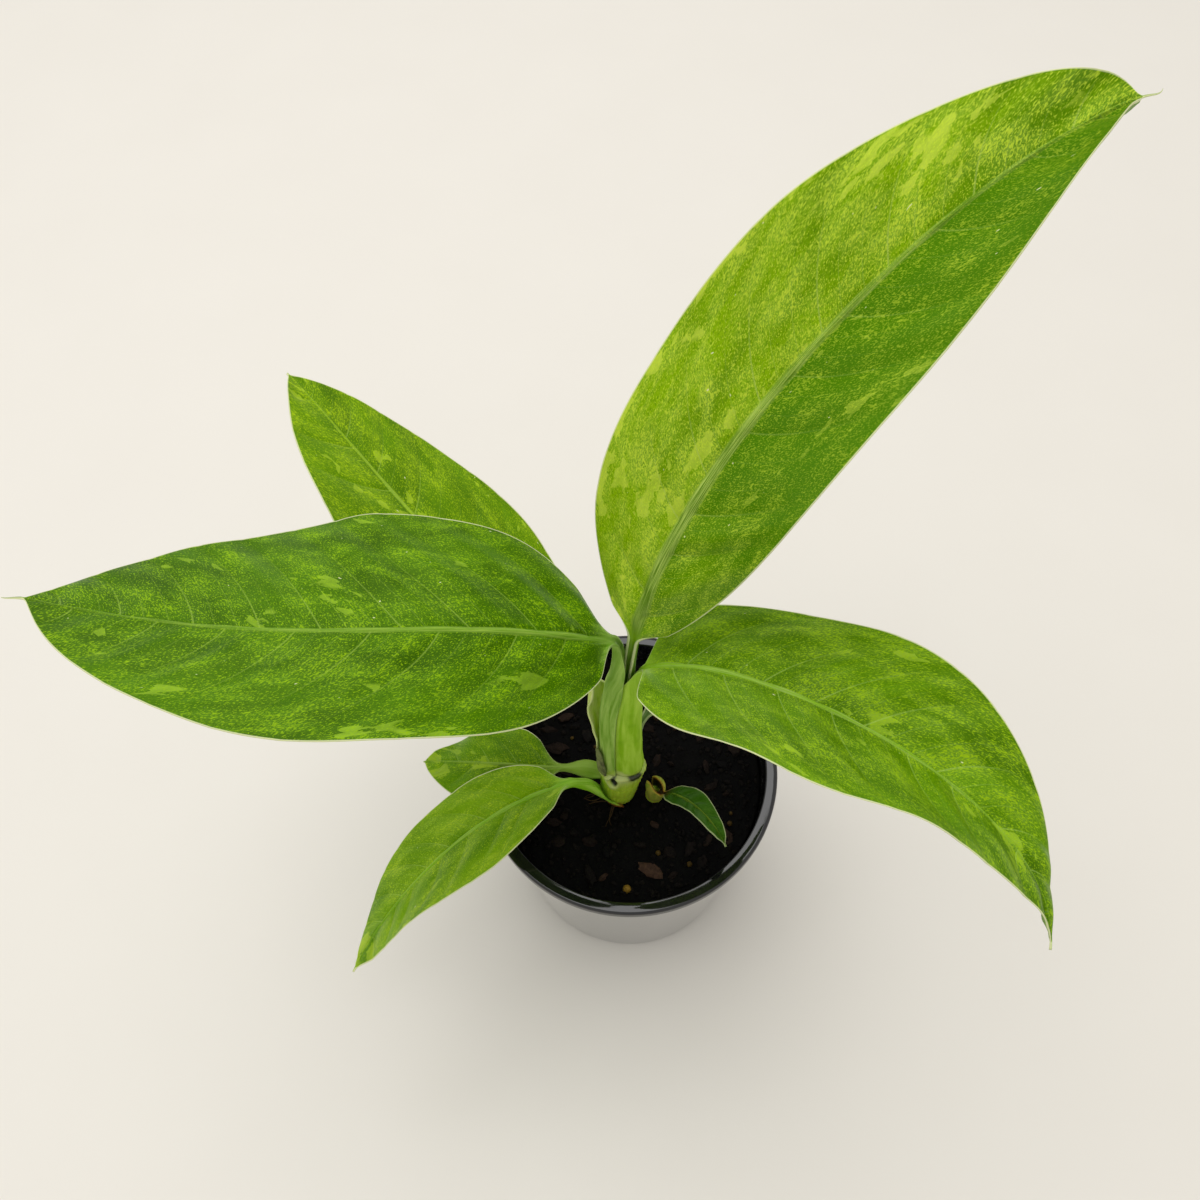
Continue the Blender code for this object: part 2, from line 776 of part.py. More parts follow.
def blade_row(leaf, middle, right, upper, share, outline, places):
    """Upper and lower points across a blade."""
    fold = radians(mix(leaf.fold[0], leaf.fold[1], share))
    full = outline(share)
    strength = min(1.0, WAVE_ONSET * full)
    rib = leaf.rib * (1.0 - RIB_THINNING * share) * (1.0 - ramp(share, (RIB_END, 1.0)))
    tops = []
    lows = []
    for place in places:
        rightward = place >= 0
        wider = 1 + leaf.wider_right if rightward else 1 - leaf.wider_right
        width = max(leaf.half_width * wider * full, TIP_HALF_WIDTH)
        wave = leaf.right_wave if rightward else leaf.left_wave
        lift = wave.height * sin(tau * (wave.crests * share + wave.start)) * strength * place**2
        reach = abs(place) * width
        rise = reach * sin(fold) - leaf.curl * width * place**2 + lift
        top = middle + right * (place * width * cos(fold)) + upper * rise
        down = right * (sin(fold) if rightward else -sin(fold)) - upper * cos(fold)
        if place == 0:
            down = -upper
        thick = BLADE_THICKNESS + rib * exp(-((reach / RIB_SPREAD) ** 2))
        tops.append(top)
        lows.append(top + down * thick)
    return tops, lows


def solid_between(name, tops, lows):
    """One closed body between two rows-of-points surfaces, split alike on both."""
    rows = len(tops)
    columns = len(tops[0])
    points = [flattened(p) for row in tops + lows for p in row]
    under = rows * columns
    faces = []
    for i in range(rows - 1):
        for j in range(columns - 1):
            a = i * columns + j
            b = a + 1
            c = b + columns
            d = a + columns
            flip = j < columns // 2
            if flip:
                faces += [(a, b, d), (b, c, d)]
                faces += [(a + under, d + under, b + under), (b + under, d + under, c + under)]
            else:
                faces += [(a, b, c), (a, c, d)]
                faces += [(a + under, c + under, b + under), (a + under, d + under, c + under)]
        left = i * columns
        right = left + columns - 1
        faces.append((left, left + columns, left + columns + under))
        faces.append((left, left + columns + under, left + under))
        faces.append((right, right + columns + under, right + columns))
        faces.append((right, right + under, right + columns + under))
    last = (rows - 1) * columns
    for j in range(columns - 1):
        faces += [(j, j + under, j + under + 1), (j, j + under + 1, j + 1)]
        a = last + j
        faces += [(a, a + 1, a + under + 1), (a, a + under + 1, a + under)]
    return mesh_of(name, points, faces)


def directions(path):
    """The direction of travel at each point of a path."""
    found = []
    for k in range(len(path)):
        ahead = path[min(k + 1, len(path) - 1)]
        behind = path[max(k - 1, 0)]
        found.append((ahead - behind).normalized())
    return found


def both_sides(columns):
    """Places across a leaf from -1 at the left margin to 1 at the right."""
    return [-c for c in reversed(columns[1:])] + list(columns)


def leaf_solid(leaf):
    """The whole leaf as one body: sheath, stalk and blade."""
    base = Vector(leaf.midrib[0])
    reach = Vector(leaf.midrib[3]) - base
    heading = Vector((reach.x, reach.y, 0)).normalized()
    keel = Matrix.Rotation(radians(leaf.keel_turn), 3, "Z") @ heading
    keel_side = Vector((keel.y, -keel.x, 0))
    blade_side = Vector((heading.y, -heading.x, 0))
    rings = filled_sheath(leaf.sheath)
    path = [stem_axis(r.height, leaf.place) + keel * r.inner_radius for r in rings]
    sheath_count = len(path)
    leaving = (path[-1] - path[-2]).normalized()
    arriving = (Vector(leaf.midrib[1]) - base).normalized()
    gap = (base - path[-1]).length
    near = path[-1] + leaving * gap * leaf.stalk_handles[0]
    far = base - arriving * gap * leaf.stalk_handles[1]
    path += even_bezier((path[-1], near, far, base), leaf.stalk_stations + 1)[1:-1]
    stalk_end = len(path)
    path += even_bezier(leaf.midrib, leaf.blade_stations)
    blade_length = sum((b - a).length for a, b in zip(path[stalk_end:], path[stalk_end + 1 :]))
    outline = blade_outline(leaf)
    columns = both_sides(leaf.columns)
    half = len(leaf.columns) - 1
    even = [(j - half) / half for j in range(len(columns))]
    tops = []
    lows = []
    for k, (middle, along) in enumerate(zip(path, directions(path))):
        if k < sheath_count:
            ring = rings[k]
            right, upper = frame_at(along, keel_side, 0.0)
            top, low = crescent(middle, right, upper, ring, even)
        else:
            onward = min(1.0, (k - sheath_count + 1) / leaf.stalk_stations)
            ring = ring_between(rings[-1], leaf.stalk, smoothstep(onward))
            share = max(0, k - stalk_end) / (leaf.blade_stations - 1)
            side = keel_side.lerp(blade_side, smoothstep(onward))
            right, upper = frame_at(along, side, roll_at(leaf, share) * smoothstep(onward))
            top, low = crescent(middle, right, upper, ring, even)
            opened = smoothstep(share * blade_length / JOIN_LENGTH)
            if opened > 0:
                wide_top, wide_low = blade_row(leaf, middle, right, upper, share, outline, columns)
                top = [a.lerp(b, opened) for a, b in zip(top, wide_top)]
                low = [a.lerp(b, opened) for a, b in zip(low, wide_low)]
        tops.append(top)
        lows.append(low)
    return solid_between(leaf.name, tops, lows)


def dry_sheath_solid():
    """The withered sheath, a thin curved scale against the stem."""
    heading = Vector((cos(radians(DRY_SHEATH_HEADING)), sin(radians(DRY_SHEATH_HEADING)), 0))
    side = Vector((heading.y, -heading.x, 0))
    rings = filled_sheath(DRY_SHEATH, DRY_SHEATH_STEP)
    path = [stem_axis(r.height, STEM_PLACE) + heading * r.inner_radius for r in rings]
    places = both_sides((0.0, 0.5, 1.0))
    tops = []
    lows = []
    for ring, middle, along in zip(rings, path, directions(path)):
        right, upper = frame_at(along, side, 0.0)
        top, low = crescent(middle, right, upper, ring, places)
        tops.append(top)
        lows.append(low)
    return solid_between("dry_sheath", tops, lows)


def main():
    clear_scene()
    plastic = material("moulded_polypropylene", (0.012, 0.012, 0.013), 0.18)
    mix_finish = material("bark_mix", (0.012, 0.010, 0.008), 0.9)
    cane_finish = material("green_cane", (0.20, 0.33, 0.05), 0.5)
    dry_finish = material("dry_sheath_tissue", (0.30, 0.31, 0.14), 0.7)
    make_pot(plastic)
    make_soil(mix_finish)
    cane = turned("cane", CANE_PROFILE, CANE_SEGMENTS, STEM_PLACE)
    for corner in cane.vertices:
        corner.co = flattened(corner.co / MM) * MM
    add_object("cane", cane, cane_finish)
    peg = turned("offshoot_stem", PEG_PROFILE, PEG_SEGMENTS, OFFSHOOT_PLACE)
    add_object("offshoot_stem", peg, cane_finish)
    add_object("dry_sheath", dry_sheath_solid(), dry_finish)
    for leaf in LEAVES:
        finish = material(leaf.name + "_tissue", (0.07, 0.22, 0.02), 0.38)
        add_object(leaf.name, leaf_solid(leaf), finish)


main()
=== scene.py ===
"""Potted dieffenbachia: the looks of a young mottled aroid in a thin black nursery pot.

Shapes are worked out in millimetres and made in metres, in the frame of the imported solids: +Z up,
origin at the middle of the pot's underside. Each leaf follows the loft of its solid, with a finer
grid that carries the midrib, the side veins, the puckers between them and the hair-thin tip.
"""

import json
import random
from dataclasses import astuple, dataclass
from functools import partial
from math import atan2, cos, pi, radians, sin, tau

import bmesh
import bpy
import numpy as np
from bpy.props import FloatProperty, FloatVectorProperty, PointerProperty
from bpy.types import Operator, Panel, PropertyGroup
from mathutils import Matrix, Vector, noise

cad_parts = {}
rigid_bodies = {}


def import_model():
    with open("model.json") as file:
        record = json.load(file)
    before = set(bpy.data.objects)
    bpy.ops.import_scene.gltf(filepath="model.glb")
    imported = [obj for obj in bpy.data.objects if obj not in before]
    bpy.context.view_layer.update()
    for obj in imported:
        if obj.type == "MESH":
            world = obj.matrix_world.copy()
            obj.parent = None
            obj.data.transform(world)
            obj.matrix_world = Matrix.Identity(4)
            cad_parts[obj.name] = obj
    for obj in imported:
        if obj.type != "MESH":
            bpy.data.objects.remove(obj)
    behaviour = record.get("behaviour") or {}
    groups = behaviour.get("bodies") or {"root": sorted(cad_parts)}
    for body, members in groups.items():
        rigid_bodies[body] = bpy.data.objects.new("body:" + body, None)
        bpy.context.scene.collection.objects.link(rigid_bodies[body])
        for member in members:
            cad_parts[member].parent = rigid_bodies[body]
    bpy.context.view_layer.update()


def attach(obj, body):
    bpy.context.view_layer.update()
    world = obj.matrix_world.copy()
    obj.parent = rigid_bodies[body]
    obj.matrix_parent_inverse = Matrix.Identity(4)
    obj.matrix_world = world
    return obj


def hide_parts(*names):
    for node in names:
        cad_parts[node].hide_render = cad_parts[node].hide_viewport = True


bl_info = {
    "name": "Potted Dieffenbachia",
    "version": (1, 0, 0),
    "blender": (4, 5, 0),
    "location": "View3D > Sidebar > Dieffenbachia",
    "description": "Leaves, stem, potting mix, pot and stage of a young dieffenbachia",
    "category": "Add Mesh",
}

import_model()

MM = 0.001
BODY = "root"

# Places on the plant, in millimetres, as in the solids
STEM_PLACE = (-2.6, -5.4)
STEM_LEAN = (1.8, 0.6)
LEAN_SPAN = (140.0, 185.0)
STEM_FLATNESS = 0.30
FLAT_START = (90.0, 104.0)
FLAT_END = (165.0, 186.0)
FLAT_REACH = (9.0, 16.0)
OFFSHOOT_PLACE = (8.8, -7.3)

CANE_PROFILE = (
    # radius, height
    (4.9, 62.0),
    (5.2, 64.0),
    (5.2, 79.6),
    (5.9, 81.5),
    (6.4, 87.0),
    (6.9, 96.0),
    (7.8, 101.5),
    (8.3, 103.6),
    (8.1, 104.8),
    (3.4, 105.0),
    (3.0, 110.0),
    (1.6, 112.8),
)
CANE_SEGMENTS = 160
CANE_JOINTS = (87.5, 96.5)
CANE_SHIFT = -1.2
CANE_SHIFT_SPAN = (101.0, 84.0)
CANE_FINE_FROM = 78.0
CANE_SHOWN_FROM = (79.0, 81.0)
CANE_SHOWN_TO = (104.2, 104.8)
JOINT_RADIUS = 7.8
JOINT_FOOT = 100.0
JOINT_GREEN = "#8cb01c"
JOINT_LINE = (
    # heading in degrees and height of the edge where the sheaths leave the cane
    (-180.0, 106.0),
    (-135.0, 107.0),
    (-122.0, 109.4),
    (-99.0, 109.9),
    (-85.0, 108.9),
    (-72.0, 107.1),
    (-57.0, 106.1),
    (-44.0, 106.6),
    (-8.0, 108.4),
    (30.0, 107.0),
    (180.0, 106.0),
)
CANE_MARKS = {
    # heading in degrees, height, half width and half height
    "pore": (-115.0, 101.9, 1.6, 3.4),
    "rim": (-119.0, 101.6, 2.5, 4.4),
    "scar": (-111.0, 81.5, 2.4, 2.6),
    "bruise": (-56.0, 104.6, 2.6, 2.6),
    "pale": (-93.0, 106.0, 3.4, 4.2),
}
CANE_RIBS = 23
CANE_RIB_HEIGHT = 0.07
JOINT_RINGS = ((0.22, 0.0, 0.7), (-0.16, 1.3, 0.5))  # rise, how far down, and spread
PORE_DEPTH = 1.6
RIM_HEIGHT = 0.7
SCAR_HEIGHT = 0.25
CANE_ROUNDING = 7.0  # millimetres of pattern to a radian round the cane
PEG_ROUNDING = 3.0
PEG_PROFILE = ((3.0, 68.0), (3.2, 69.0), (3.2, 80.6), (1.7, 81.0), (1.3, 85.0))
PEG_SEGMENTS = 48

# How the leaves' fine rows are laid
SHEATH_ROW_STEP = 2.0
STALK_ROWS = 26
JOIN_LENGTH = 9.0
HAIR_ROWS = 14
HAIR_THINNING = 0.7
MARGIN_CROWDING = 0.55  # draws the columns towards the midrib and the margins
WAVE_ONSET = 4.0
RIB_SPREAD = 1.7
FOLD_SOFTNESS = 1.6
MARGIN_THICKNESS = 0.22
UNDERSIDE_SHIFT = 40.0  # parts the patterns of both sides
RIPPLE_HEIGHT = 0.16
RIPPLE_SPANS = (5.3, 6.1)  # along the side veins' starts and across
STALK_CROWN = 0.35
VEIN_SWEEP = (0.6, 0.5)  # how far forward a side vein has run, as shares of the half width
VEIN_JITTER = 0.22
VEIN_SPREAD = 0.8
VEINS_BEFORE_BASE = 6

# The pot and the mix, in millimetres
POT_HEIGHT = 90.0
POT_BASE_RADIUS = 42.0
POT_MOUTH_RADIUS = 49.3
POT_WALL = 1.0
POT_FLOOR = 1.2
COLLAR_RADIUS = 52.5
COLLAR_DROP = 3.4
POT_SEGMENTS = 192
DRAIN_HOLES = 6
DRAIN_RING = 30.0
DRAIN_RADIUS = 4.0
CUT_DEPTH = 6.0
SOIL_GAP = 0.3
SOIL_HEIGHT = 79.5
SOIL_RELIEF = 1.4
SOIL_RELIEF_SPAN = 11.0
LUMP_SPANS = (2.6, 1.1)
MIX_RINGS = 64
MIX_SEGMENTS = 240
MIX_SEED = 11
ROOT_COUNT = 7
ROOT_RADIUS = 0.3
ROOT_HEADINGS = (-175.0, -70.0)
ROOT_POINTS = 9
ROOT_STEP = 1.3
ROOT_START = 5.0
ROOT_ARCH = 0.7
ROOT_WANDER = 24.0  # degrees at each step
CHIP_COUNT = 62
CHIP_LENGTHS = (3.0, 8.0)
CHIP_THICKNESSES = (1.4, 2.6)
PRILL_COUNT = 10
LAID_REACH = 41.0  # how far from the middle a chip or prill may lie
STEM_CLEARANCE = 15.0
OFFSHOOT_CLEARANCE = 11.0
CHIP_CLEARANCE = 4.6
PRILL_CLEARANCE = 4.0
PRILL_SIZE = 3.0
CRUMB_SIZES = (0.7, 2.4)
CRUMB_FOOT = 77.0  # crumbs lie on the faces of the mix above this height
BROWN_CHIP_PLACE = (5.6, -34.9)
BROWN_CHIP_SIZE = (9.0, 4.6, 2.2)
YELLOW_PRILL_PLACE = (-2.7, -41.0)

# The camera, fitted to the pot's rim, collar and foot
CAMERA_PLACE = (-0.0078, -0.1444, 0.4610)
CAMERA_PITCH = 60.2  # degrees below the horizon
CAMERA_ROLL = -2.4
CAMERA_LENS = 33.3
CAMERA_SENSOR = 36.0

# The floor in millimetres, and the lamp in metres
FLOOR_REACH = 3000.0
LAMP_PLACE = (-0.3, 0.3, 1.7)
LAMP_AIM = (0.0, 0.0, 0.2)
LAMP_WIDTH = 1.6


@dataclass
class Wave:
    """The rise and fall of one margin: height, crests along the blade and where they start."""

    height: float
    crests: float
    start: float


@dataclass
class Ring:
    """One level of a sheath or stalk, a crescent in section, open towards the upper side."""

    height: float
    inner_radius: float
    wrap: float
    keel_wall: float
    edge_wall: float = 0.7


@dataclass
class Look:
    """The colours of one leaf, as sRGB hex values, and how strongly it is marked, with its painted
    sheen and the painted light and shade of its halves.
    """

    deep: str
    middle: str
    light: str
    # greyish green of the painted sheen, laid in clouds over the blade
    cloud: str
    rib: str
    stalk: str
    streak: str
    # how much lighter the left half is painted: partly paler tissue, partly painted light
    paler_and_lit_left: float = 0.0
    patches: float = 0.5
    flecks: float = 0.5
    stalk_margin: float = 0.1
    # how strongly the right half is darkened with painted shade, more so towards the tip
    shaded_right: float = 0.0
    foot: str = "#b4bc70"
    foot_depth: float = 0.5
    margin: float = 0.85
    # dark colour painted on the inner face of an open sheath: painted shade in its opening
    mouth_shade: str = ""
    lip: str = "#a8702c"


@dataclass
class Leaf:
    """One leaf, from the foot of its sheath to its tip.

    midrib is a Bezier curve: blade base, two handles and tip.
    roll is about the midrib at the base, the middle and the tip, and fold is how far each half
    is raised at the base and at the tip, all in degrees.
    """

    name: str
    midrib: tuple
    half_width: float
    roll: tuple
    fold: tuple
    sheath: tuple
    stalk: Ring
    left_wave: Wave
    right_wave: Wave
    look: Look
    wider_right: float = 0.0
    curl: float = 0.09
    base_fullness: float = 0.66
    tip_fullness: float = 0.8
    tip_taper: float = 0.03
    rib: float = 1.5
    place: tuple = STEM_PLACE
    keel_turn: float = 0.0
    stalk_handles: tuple = (0.4, 0.4)
    rows: int = 230
    columns_each_side: int = 44
    rib_width: tuple = (1.1, 0.3)  # half of the pale midrib at the base and the tip
    pucker: float = 0.5
    vein_spacing: float = 19.0
    hair: tuple = ()  # three points past the tip that the hair-thin end follows
    stalk_fill: float = 0.0  # how full the stalk is above, from channelled to round
    seed: int = 1


# In each Look the fourth colour is the greyish green of the painted sheen
LEAVES = (
    Leaf(
        name="leaf_upright",
        midrib=((0.8, -4.7, 193), (9, 10, 250.5), (64.5, 40, 308), (101.5, 43.5, 320.5)),
        half_width=29.2,
        roll=(-20, -19, -1),
        fold=(19, 40),
        sheath=(
            Ring(113.2, 0.8, 100, 2.0, 1.3),
            Ring(150.0, 0.8, 100, 2.0, 1.3),
            Ring(174.0, 0.9, 95, 1.6, 1.0),
        ),
        stalk=Ring(193.5, 0.9, 85, 1.6, 0.8),
        left_wave=Wave(-1.7, 2.7, 0.03),
        right_wave=Wave(4.8, 1.7, 0.52),
        look=Look(
            "#467600", "#86b000", "#c4da3c", "#98ba44", "#b0c860", "#547a10", "#749a2c",
            # the left half painted lighter, partly paler tissue and partly painted light; the right
            # half darkened with painted shade
            paler_and_lit_left=0.6, patches=0.35, flecks=1.0, stalk_margin=0.7, shaded_right=1.0,
        ),
        tip_fullness=0.63,
        tip_taper=0.005,
        rib=2.0,
        rib_width=(2.3, 0.4),
        pucker=1.1,
        vein_spacing=20.0,
        hair=((1.6, 0.0, 0.6), (3.4, -0.3, 0.2), (3.8, 0.9, 0.9)),
        seed=3,
    ),
    Leaf(
        name="leaf_left",
        midrib=((-4.6, -6.2, 197), (-56, -24, 253), (-75, -23, 226), (-150, -3, 227.5)),
        half_width=33.8,
        roll=(0, -9, -17),
        fold=(1, 3),
        sheath=(
            Ring(105.3, 6.1, 68, 1.3),
            Ring(125.0, 6.0, 68, 1.3),
            Ring(150.0, 5.8, 72, 1.2),
            Ring(168.0, 5.1, 79, 1.1),
            Ring(178.0, 3.6, 78, 1.2),
        ),
        stalk=Ring(197.0, 0.9, 80, 1.6, 0.8),
        left_wave=Wave(0.9, 2.9, 0.13),
        right_wave=Wave(-0.8, 3.1, 0.28),
        look=Look(
            "#345a00", "#4c7a00", "#8cb40c", "#5c8a1c", "#98b848", "#6c9628", "#a4c460",
            patches=0.35, flecks=0.7, stalk_margin=0.06,
        ),
        wider_right=0.13,
        stalk_handles=(0.5, 0.12),
        base_fullness=0.63,
        tip_fullness=0.77,
        tip_taper=0.02,
        pucker=1.3,
        vein_spacing=18.0,
        hair=((-1.8, 0.0, 0.3), (-3.4, -0.3, 0.2), (-4.6, -0.1, 0.5)),
        seed=8,
    ),
    Leaf(
        name="leaf_right",
        midrib=((3.3, -7.5, 181.5), (21, -9, 204), (99, -56.5, 214), (94.5, -90, 192)),
        half_width=28.1,
        roll=(-3, 6, 12),
        fold=(21, 39),
        sheath=(
            Ring(105.3, 4.0, 125, 3.4),
            Ring(111.0, 4.0, 125, 4.0),
            Ring(122.0, 4.0, 125, 3.2),
            Ring(148.0, 4.0, 120, 2.6),
            Ring(162.0, 4.0, 96, 2.0),
        ),
        stalk=Ring(181.5, 0.9, 80, 1.6, 0.8),
        left_wave=Wave(4.2, 1.7, 0.28),
        right_wave=Wave(1.9, 2.9, -0.7),
        look=Look(
            "#446c00", "#649200", "#98bc10", "#7ca034", "#9cbc58", "#80ae14", "#acd048",
            # its right half lightly darkened with painted shade
            patches=0.45, flecks=0.9, shaded_right=0.2, foot="#9fb444",
        ),
        wider_right=0.08,
        stalk_handles=(0.4, 0.15),
        curl=0.11,
        base_fullness=0.52,
        tip_fullness=0.84,
        tip_taper=0.07,
        rib_width=(1.1, 0.25),
        pucker=1.3,
        vein_spacing=17.0,
        seed=21,
    ),
    Leaf(
        name="leaf_rear",
        midrib=((-12, 1, 164), (-46.5, 19, 183), (-70, 52, 198.5), (-98, 82, 209.5)),
        half_width=26.6,
        roll=(-14, -17, -25),
        fold=(13.5, 7),
        sheath=(
            Ring(105.3, 7.8, 28, 1.0),
            Ring(124.0, 7.8, 28, 1.1),
            Ring(134.0, 8.9, 26, 1.3),
            Ring(148.0, 10.3, 26, 1.3, 0.6),
        ),
        stalk=Ring(164.0, 1.0, 75, 1.5, 0.8),
        left_wave=Wave(1.1, 3.1, 0.15),
        right_wave=Wave(0.8, 1.9, 0.49),
        look=Look(
            "#466e00", "#649000", "#a0c010", "#7a9c20", "#98b848", "#a8cc20", "#ccd880",
            patches=0.7, flecks=0.8, stalk_margin=0.6,
        ),
        keel_turn=8.0,
        stalk_handles=(0.3, 0.15),
        curl=0.08,
        base_fullness=0.67,
        tip_fullness=0.86,
        tip_taper=0.01,
        rows=200,
        columns_each_side=38,
        rib_width=(1.2, 0.3),
        seed=34,
    ),
    Leaf(
        name="leaf_low_front",
        midrib=((-20, -10.5, 103), (-51.5, -17, 106), (-83, -41, 86.5), (-99, -61.5, 64)),
        half_width=18.9,
        roll=(-19, -24, -21),
        fold=(13, 10),
        sheath=(
            Ring(81.2, 6.3, 62, 1.0),
            Ring(83.6, 6.6, 46, 1.1),
            Ring(86.0, 7.3, 26, 1.3),
        ),
        stalk=Ring(103.0, 1.3, 75, 1.5, 0.8),
        left_wave=Wave(2.1, 1.5, 0.27),
        right_wave=Wave(-0.7, 2.3, 0.32),
        look=Look(
            "#528000", "#7ca800", "#acc820", "#88ac34", "#9cbc50", "#7cb420", "#a4d050",
            patches=0.45, flecks=0.6, stalk_margin=0.0, foot="#a5662c", foot_depth=1.0,
        ),
        keel_turn=-3.0,
        stalk_handles=(0.12, 0.12),
        stalk_fill=1.0,
        base_fullness=0.65,
        tip_fullness=0.96,
        tip_taper=0.04,
        rows=170,
        columns_each_side=32,
        vein_spacing=13.0,
        pucker=0.4,
        seed=55,
    ),
    Leaf(
        name="leaf_low_rear",
        midrib=((-23.2, -1.3, 93.5), (-40.6, -1.8, 100), (-58.8, 3.3, 93.5), (-74, 6.8, 85)),
        half_width=15.2,
        roll=(-5, -5, -10),
        fold=(6, -1),
        sheath=(
            Ring(87.4, 7.1, 22, 1.0),
            Ring(89.4, 7.3, 20, 1.1),
        ),
        stalk=Ring(93.5, 0.9, 70, 1.3),
        left_wave=Wave(0.7, 2.4, 0.0),
        right_wave=Wave(1.1, 2.9, -0.53),
        look=Look(
            "#426c00", "#609000", "#98b810", "#749828", "#90b048", "#7c9c34", "#94b252",
            flecks=0.7, stalk_margin=0.0,
        ),
        keel_turn=-20.0,
        stalk_fill=1.0,
        stalk_handles=(0.15, 0.2),
        curl=0.12,
        base_fullness=0.69,
        tip_fullness=0.88,
        tip_taper=0.02,
        rib=1.2,
        rows=120,
        columns_each_side=26,
        rib_width=(0.9, 0.3),
        vein_spacing=11.0,
        pucker=0.35,
        seed=89,
    ),
    Leaf(
        name="leaf_behind",
        midrib=((5, 4.5, 124), (14, 9, 132), (26, 17, 134), (38, 23, 130)),
        half_width=8.5,
        roll=(0, 0, 0),
        fold=(14, 8),
        sheath=(
            Ring(105.3, 8.0, 16, 1.0),
            Ring(111.0, 8.2, 14, 1.1),
        ),
        stalk=Ring(124.0, 0.8, 70, 1.2),
        left_wave=Wave(0.5, 2.2, 0.1),
        right_wave=Wave(0.6, 2.6, 0.4),
        # Dark, dull greens: painted shade, for a leaf lying under the right leaf
        look=Look(
            "#2f4c1c", "#3f5f28", "#5c7a3c", "#4c6c34", "#5f7c44", "#4c6630", "#6f8654",
            patches=0.2, flecks=0.3, stalk_margin=0.3,
        ),
        keel_turn=32.0,
        stalk_fill=1.0,
        stalk_handles=(0.3, 0.2),
        rib=1.0,
        rows=80,
        columns_each_side=20,
        rib_width=(0.9, 0.3),
        vein_spacing=7.0,
        pucker=0.2,
        seed=144,
    ),
    Leaf(
        name="offshoot_leaf",
        midrib=((11.4, -11.8, 91.8), (16, -14.7, 104), (25, -24, 111), (29.6, -36.7, 109.5)),
        half_width=5.3,
        roll=(-6, 13, 21),
        fold=(21, 25),
        sheath=(
            Ring(81.4, 2.2, 158, 1.2, 0.8),
            Ring(85.0, 2.3, 160, 1.2, 0.8),
            Ring(88.5, 2.5, 158, 1.1, 0.8),
        ),
        stalk=Ring(91.8, 0.6, 75, 1.1),
        left_wave=Wave(0.5, 2.4, 0.11),
        right_wave=Wave(0.6, 2.2, 0.0),
        # the dark brown on the inner face of its sheath is painted shade in the opening
        look=Look(
            "#244c04", "#2e5a08", "#3c6814", "#345e10", "#446e1c", "#8a9a34", "#b4ac48",
            patches=0.0, flecks=0.1, stalk_margin=1.0, foot="#a4a040", margin=0.4, mouth_shade="#2c1e0c",
        ),
        curl=0.05,
        base_fullness=0.63,
        tip_fullness=0.88,
        rib=0.9,
        place=OFFSHOOT_PLACE,
        rows=80,
        columns_each_side=20,
        rib_width=(0.5, 0.2),
        vein_spacing=6.0,
        pucker=0.15,
        seed=233,
    ),
)

DRY_SHEATH_HEADING = 201.0
CRINKLE_HEIGHT = 0.12
DRY_SHEATH = (
    Ring(105.3, 7.8, 24, 0.8),
    Ring(112.0, 7.9, 24, 0.8),
    Ring(119.0, 8.0, 16, 0.8),
    Ring(125.0, 8.2, 5, 0.8),
)


# Colours and nodes


def srgb(text):
    """A linear colour with alpha from an sRGB hex value."""
    linear = []
    for k in (1, 3, 5):
        share = int(text[k : k + 2], 16) / 255
        linear.append(share / 12.92 if share <= 0.04045 else ((share + 0.055) / 1.055) ** 2.4)
    return (*linear, 1.0)


def feed(made, values):
    """Set or link a node's inputs, in order or by name. Text that starts with # is a colour."""
    pairs = values.items() if isinstance(values, dict) else enumerate(values)
    for key, value in pairs:
        if isinstance(value, bpy.types.NodeSocket):
            made.id_data.links.new(value, made.inputs[key])
        elif isinstance(value, str) and value.startswith("#"):
            made.inputs[key].default_value = srgb(value)
        else:
            made.inputs[key].default_value = value


def add_node(tree, kind, values=(), out=0, **settings):
    """Add a node, set its properties, set or link its inputs, and hand back one of its outputs.

    A map range takes a value, the span that it is read over, and what both ends of that become.
    """
    made = tree.nodes.new(kind)
    for name, value in settings.items():
        setattr(made, name, value)
    feed(made, values)
    return made.outputs[out]


def textured_material(name, place_name, noise_table):
    """A new material: itself, its shader, what adds its nodes, the place in its pattern, its noises.

    The place is stored under a name or, with no name, is the object's own in millimetres.
    A row of the table is a noise's name, three sizes in mm, detail, roughness, warp and shift.
    """
    made = bpy.data.materials.new(name)
    made.use_nodes = True
    node = partial(add_node, made.node_tree)
    if place_name:
        place = node("ShaderNodeAttribute", attribute_name=place_name, out="Vector")
    else:
        spot = node("ShaderNodeTexCoord", out="Object")
        place = node("ShaderNodeVectorMath", {0: spot, "Scale": 1 / MM}, operation="SCALE")
    noises = {}
    for key, sizes, detail, rough, warp, shift in noise_table:
        values = [place, [1 / size for size in sizes], (shift, shift / 2, 0)]
        moved = node("ShaderNodeVectorMath", values, operation="MULTIPLY_ADD")
        values = {"Vector": moved, "Scale": 1.0, "Detail": detail}
        values |= {"Roughness": rough, "Distortion": warp}
        noises[key] = node("ShaderNodeTexNoise", values)
    return made, made.node_tree.nodes["Principled BSDF"], node, place, noises


def painted(node, colour, layers):
    """Lay colours over each other, each where its mask says."""
    for mask, paint in layers:
        colour = node("ShaderNodeMix", {0: mask, 6: colour, 7: paint}, out=2, data_type="RGBA")
    return colour


def dress(shader, node, colour, rough, relief, more):
    """Give a shader its colour, roughness, fine relief (height, depth in mm, strength) and more."""
    values = {"Height": relief[0], "Distance": relief[1] * MM, "Strength": relief[2]}
    bump = node("ShaderNodeBump", values)
    feed(shader, {"Base Color": colour, "Roughness": rough, "Normal": bump, **more})


def smoothstep(value):
    """A soft step from 0 to 1."""
    value = np.clip(value, 0.0, 1.0)
    return value * value * (3 - 2 * value)


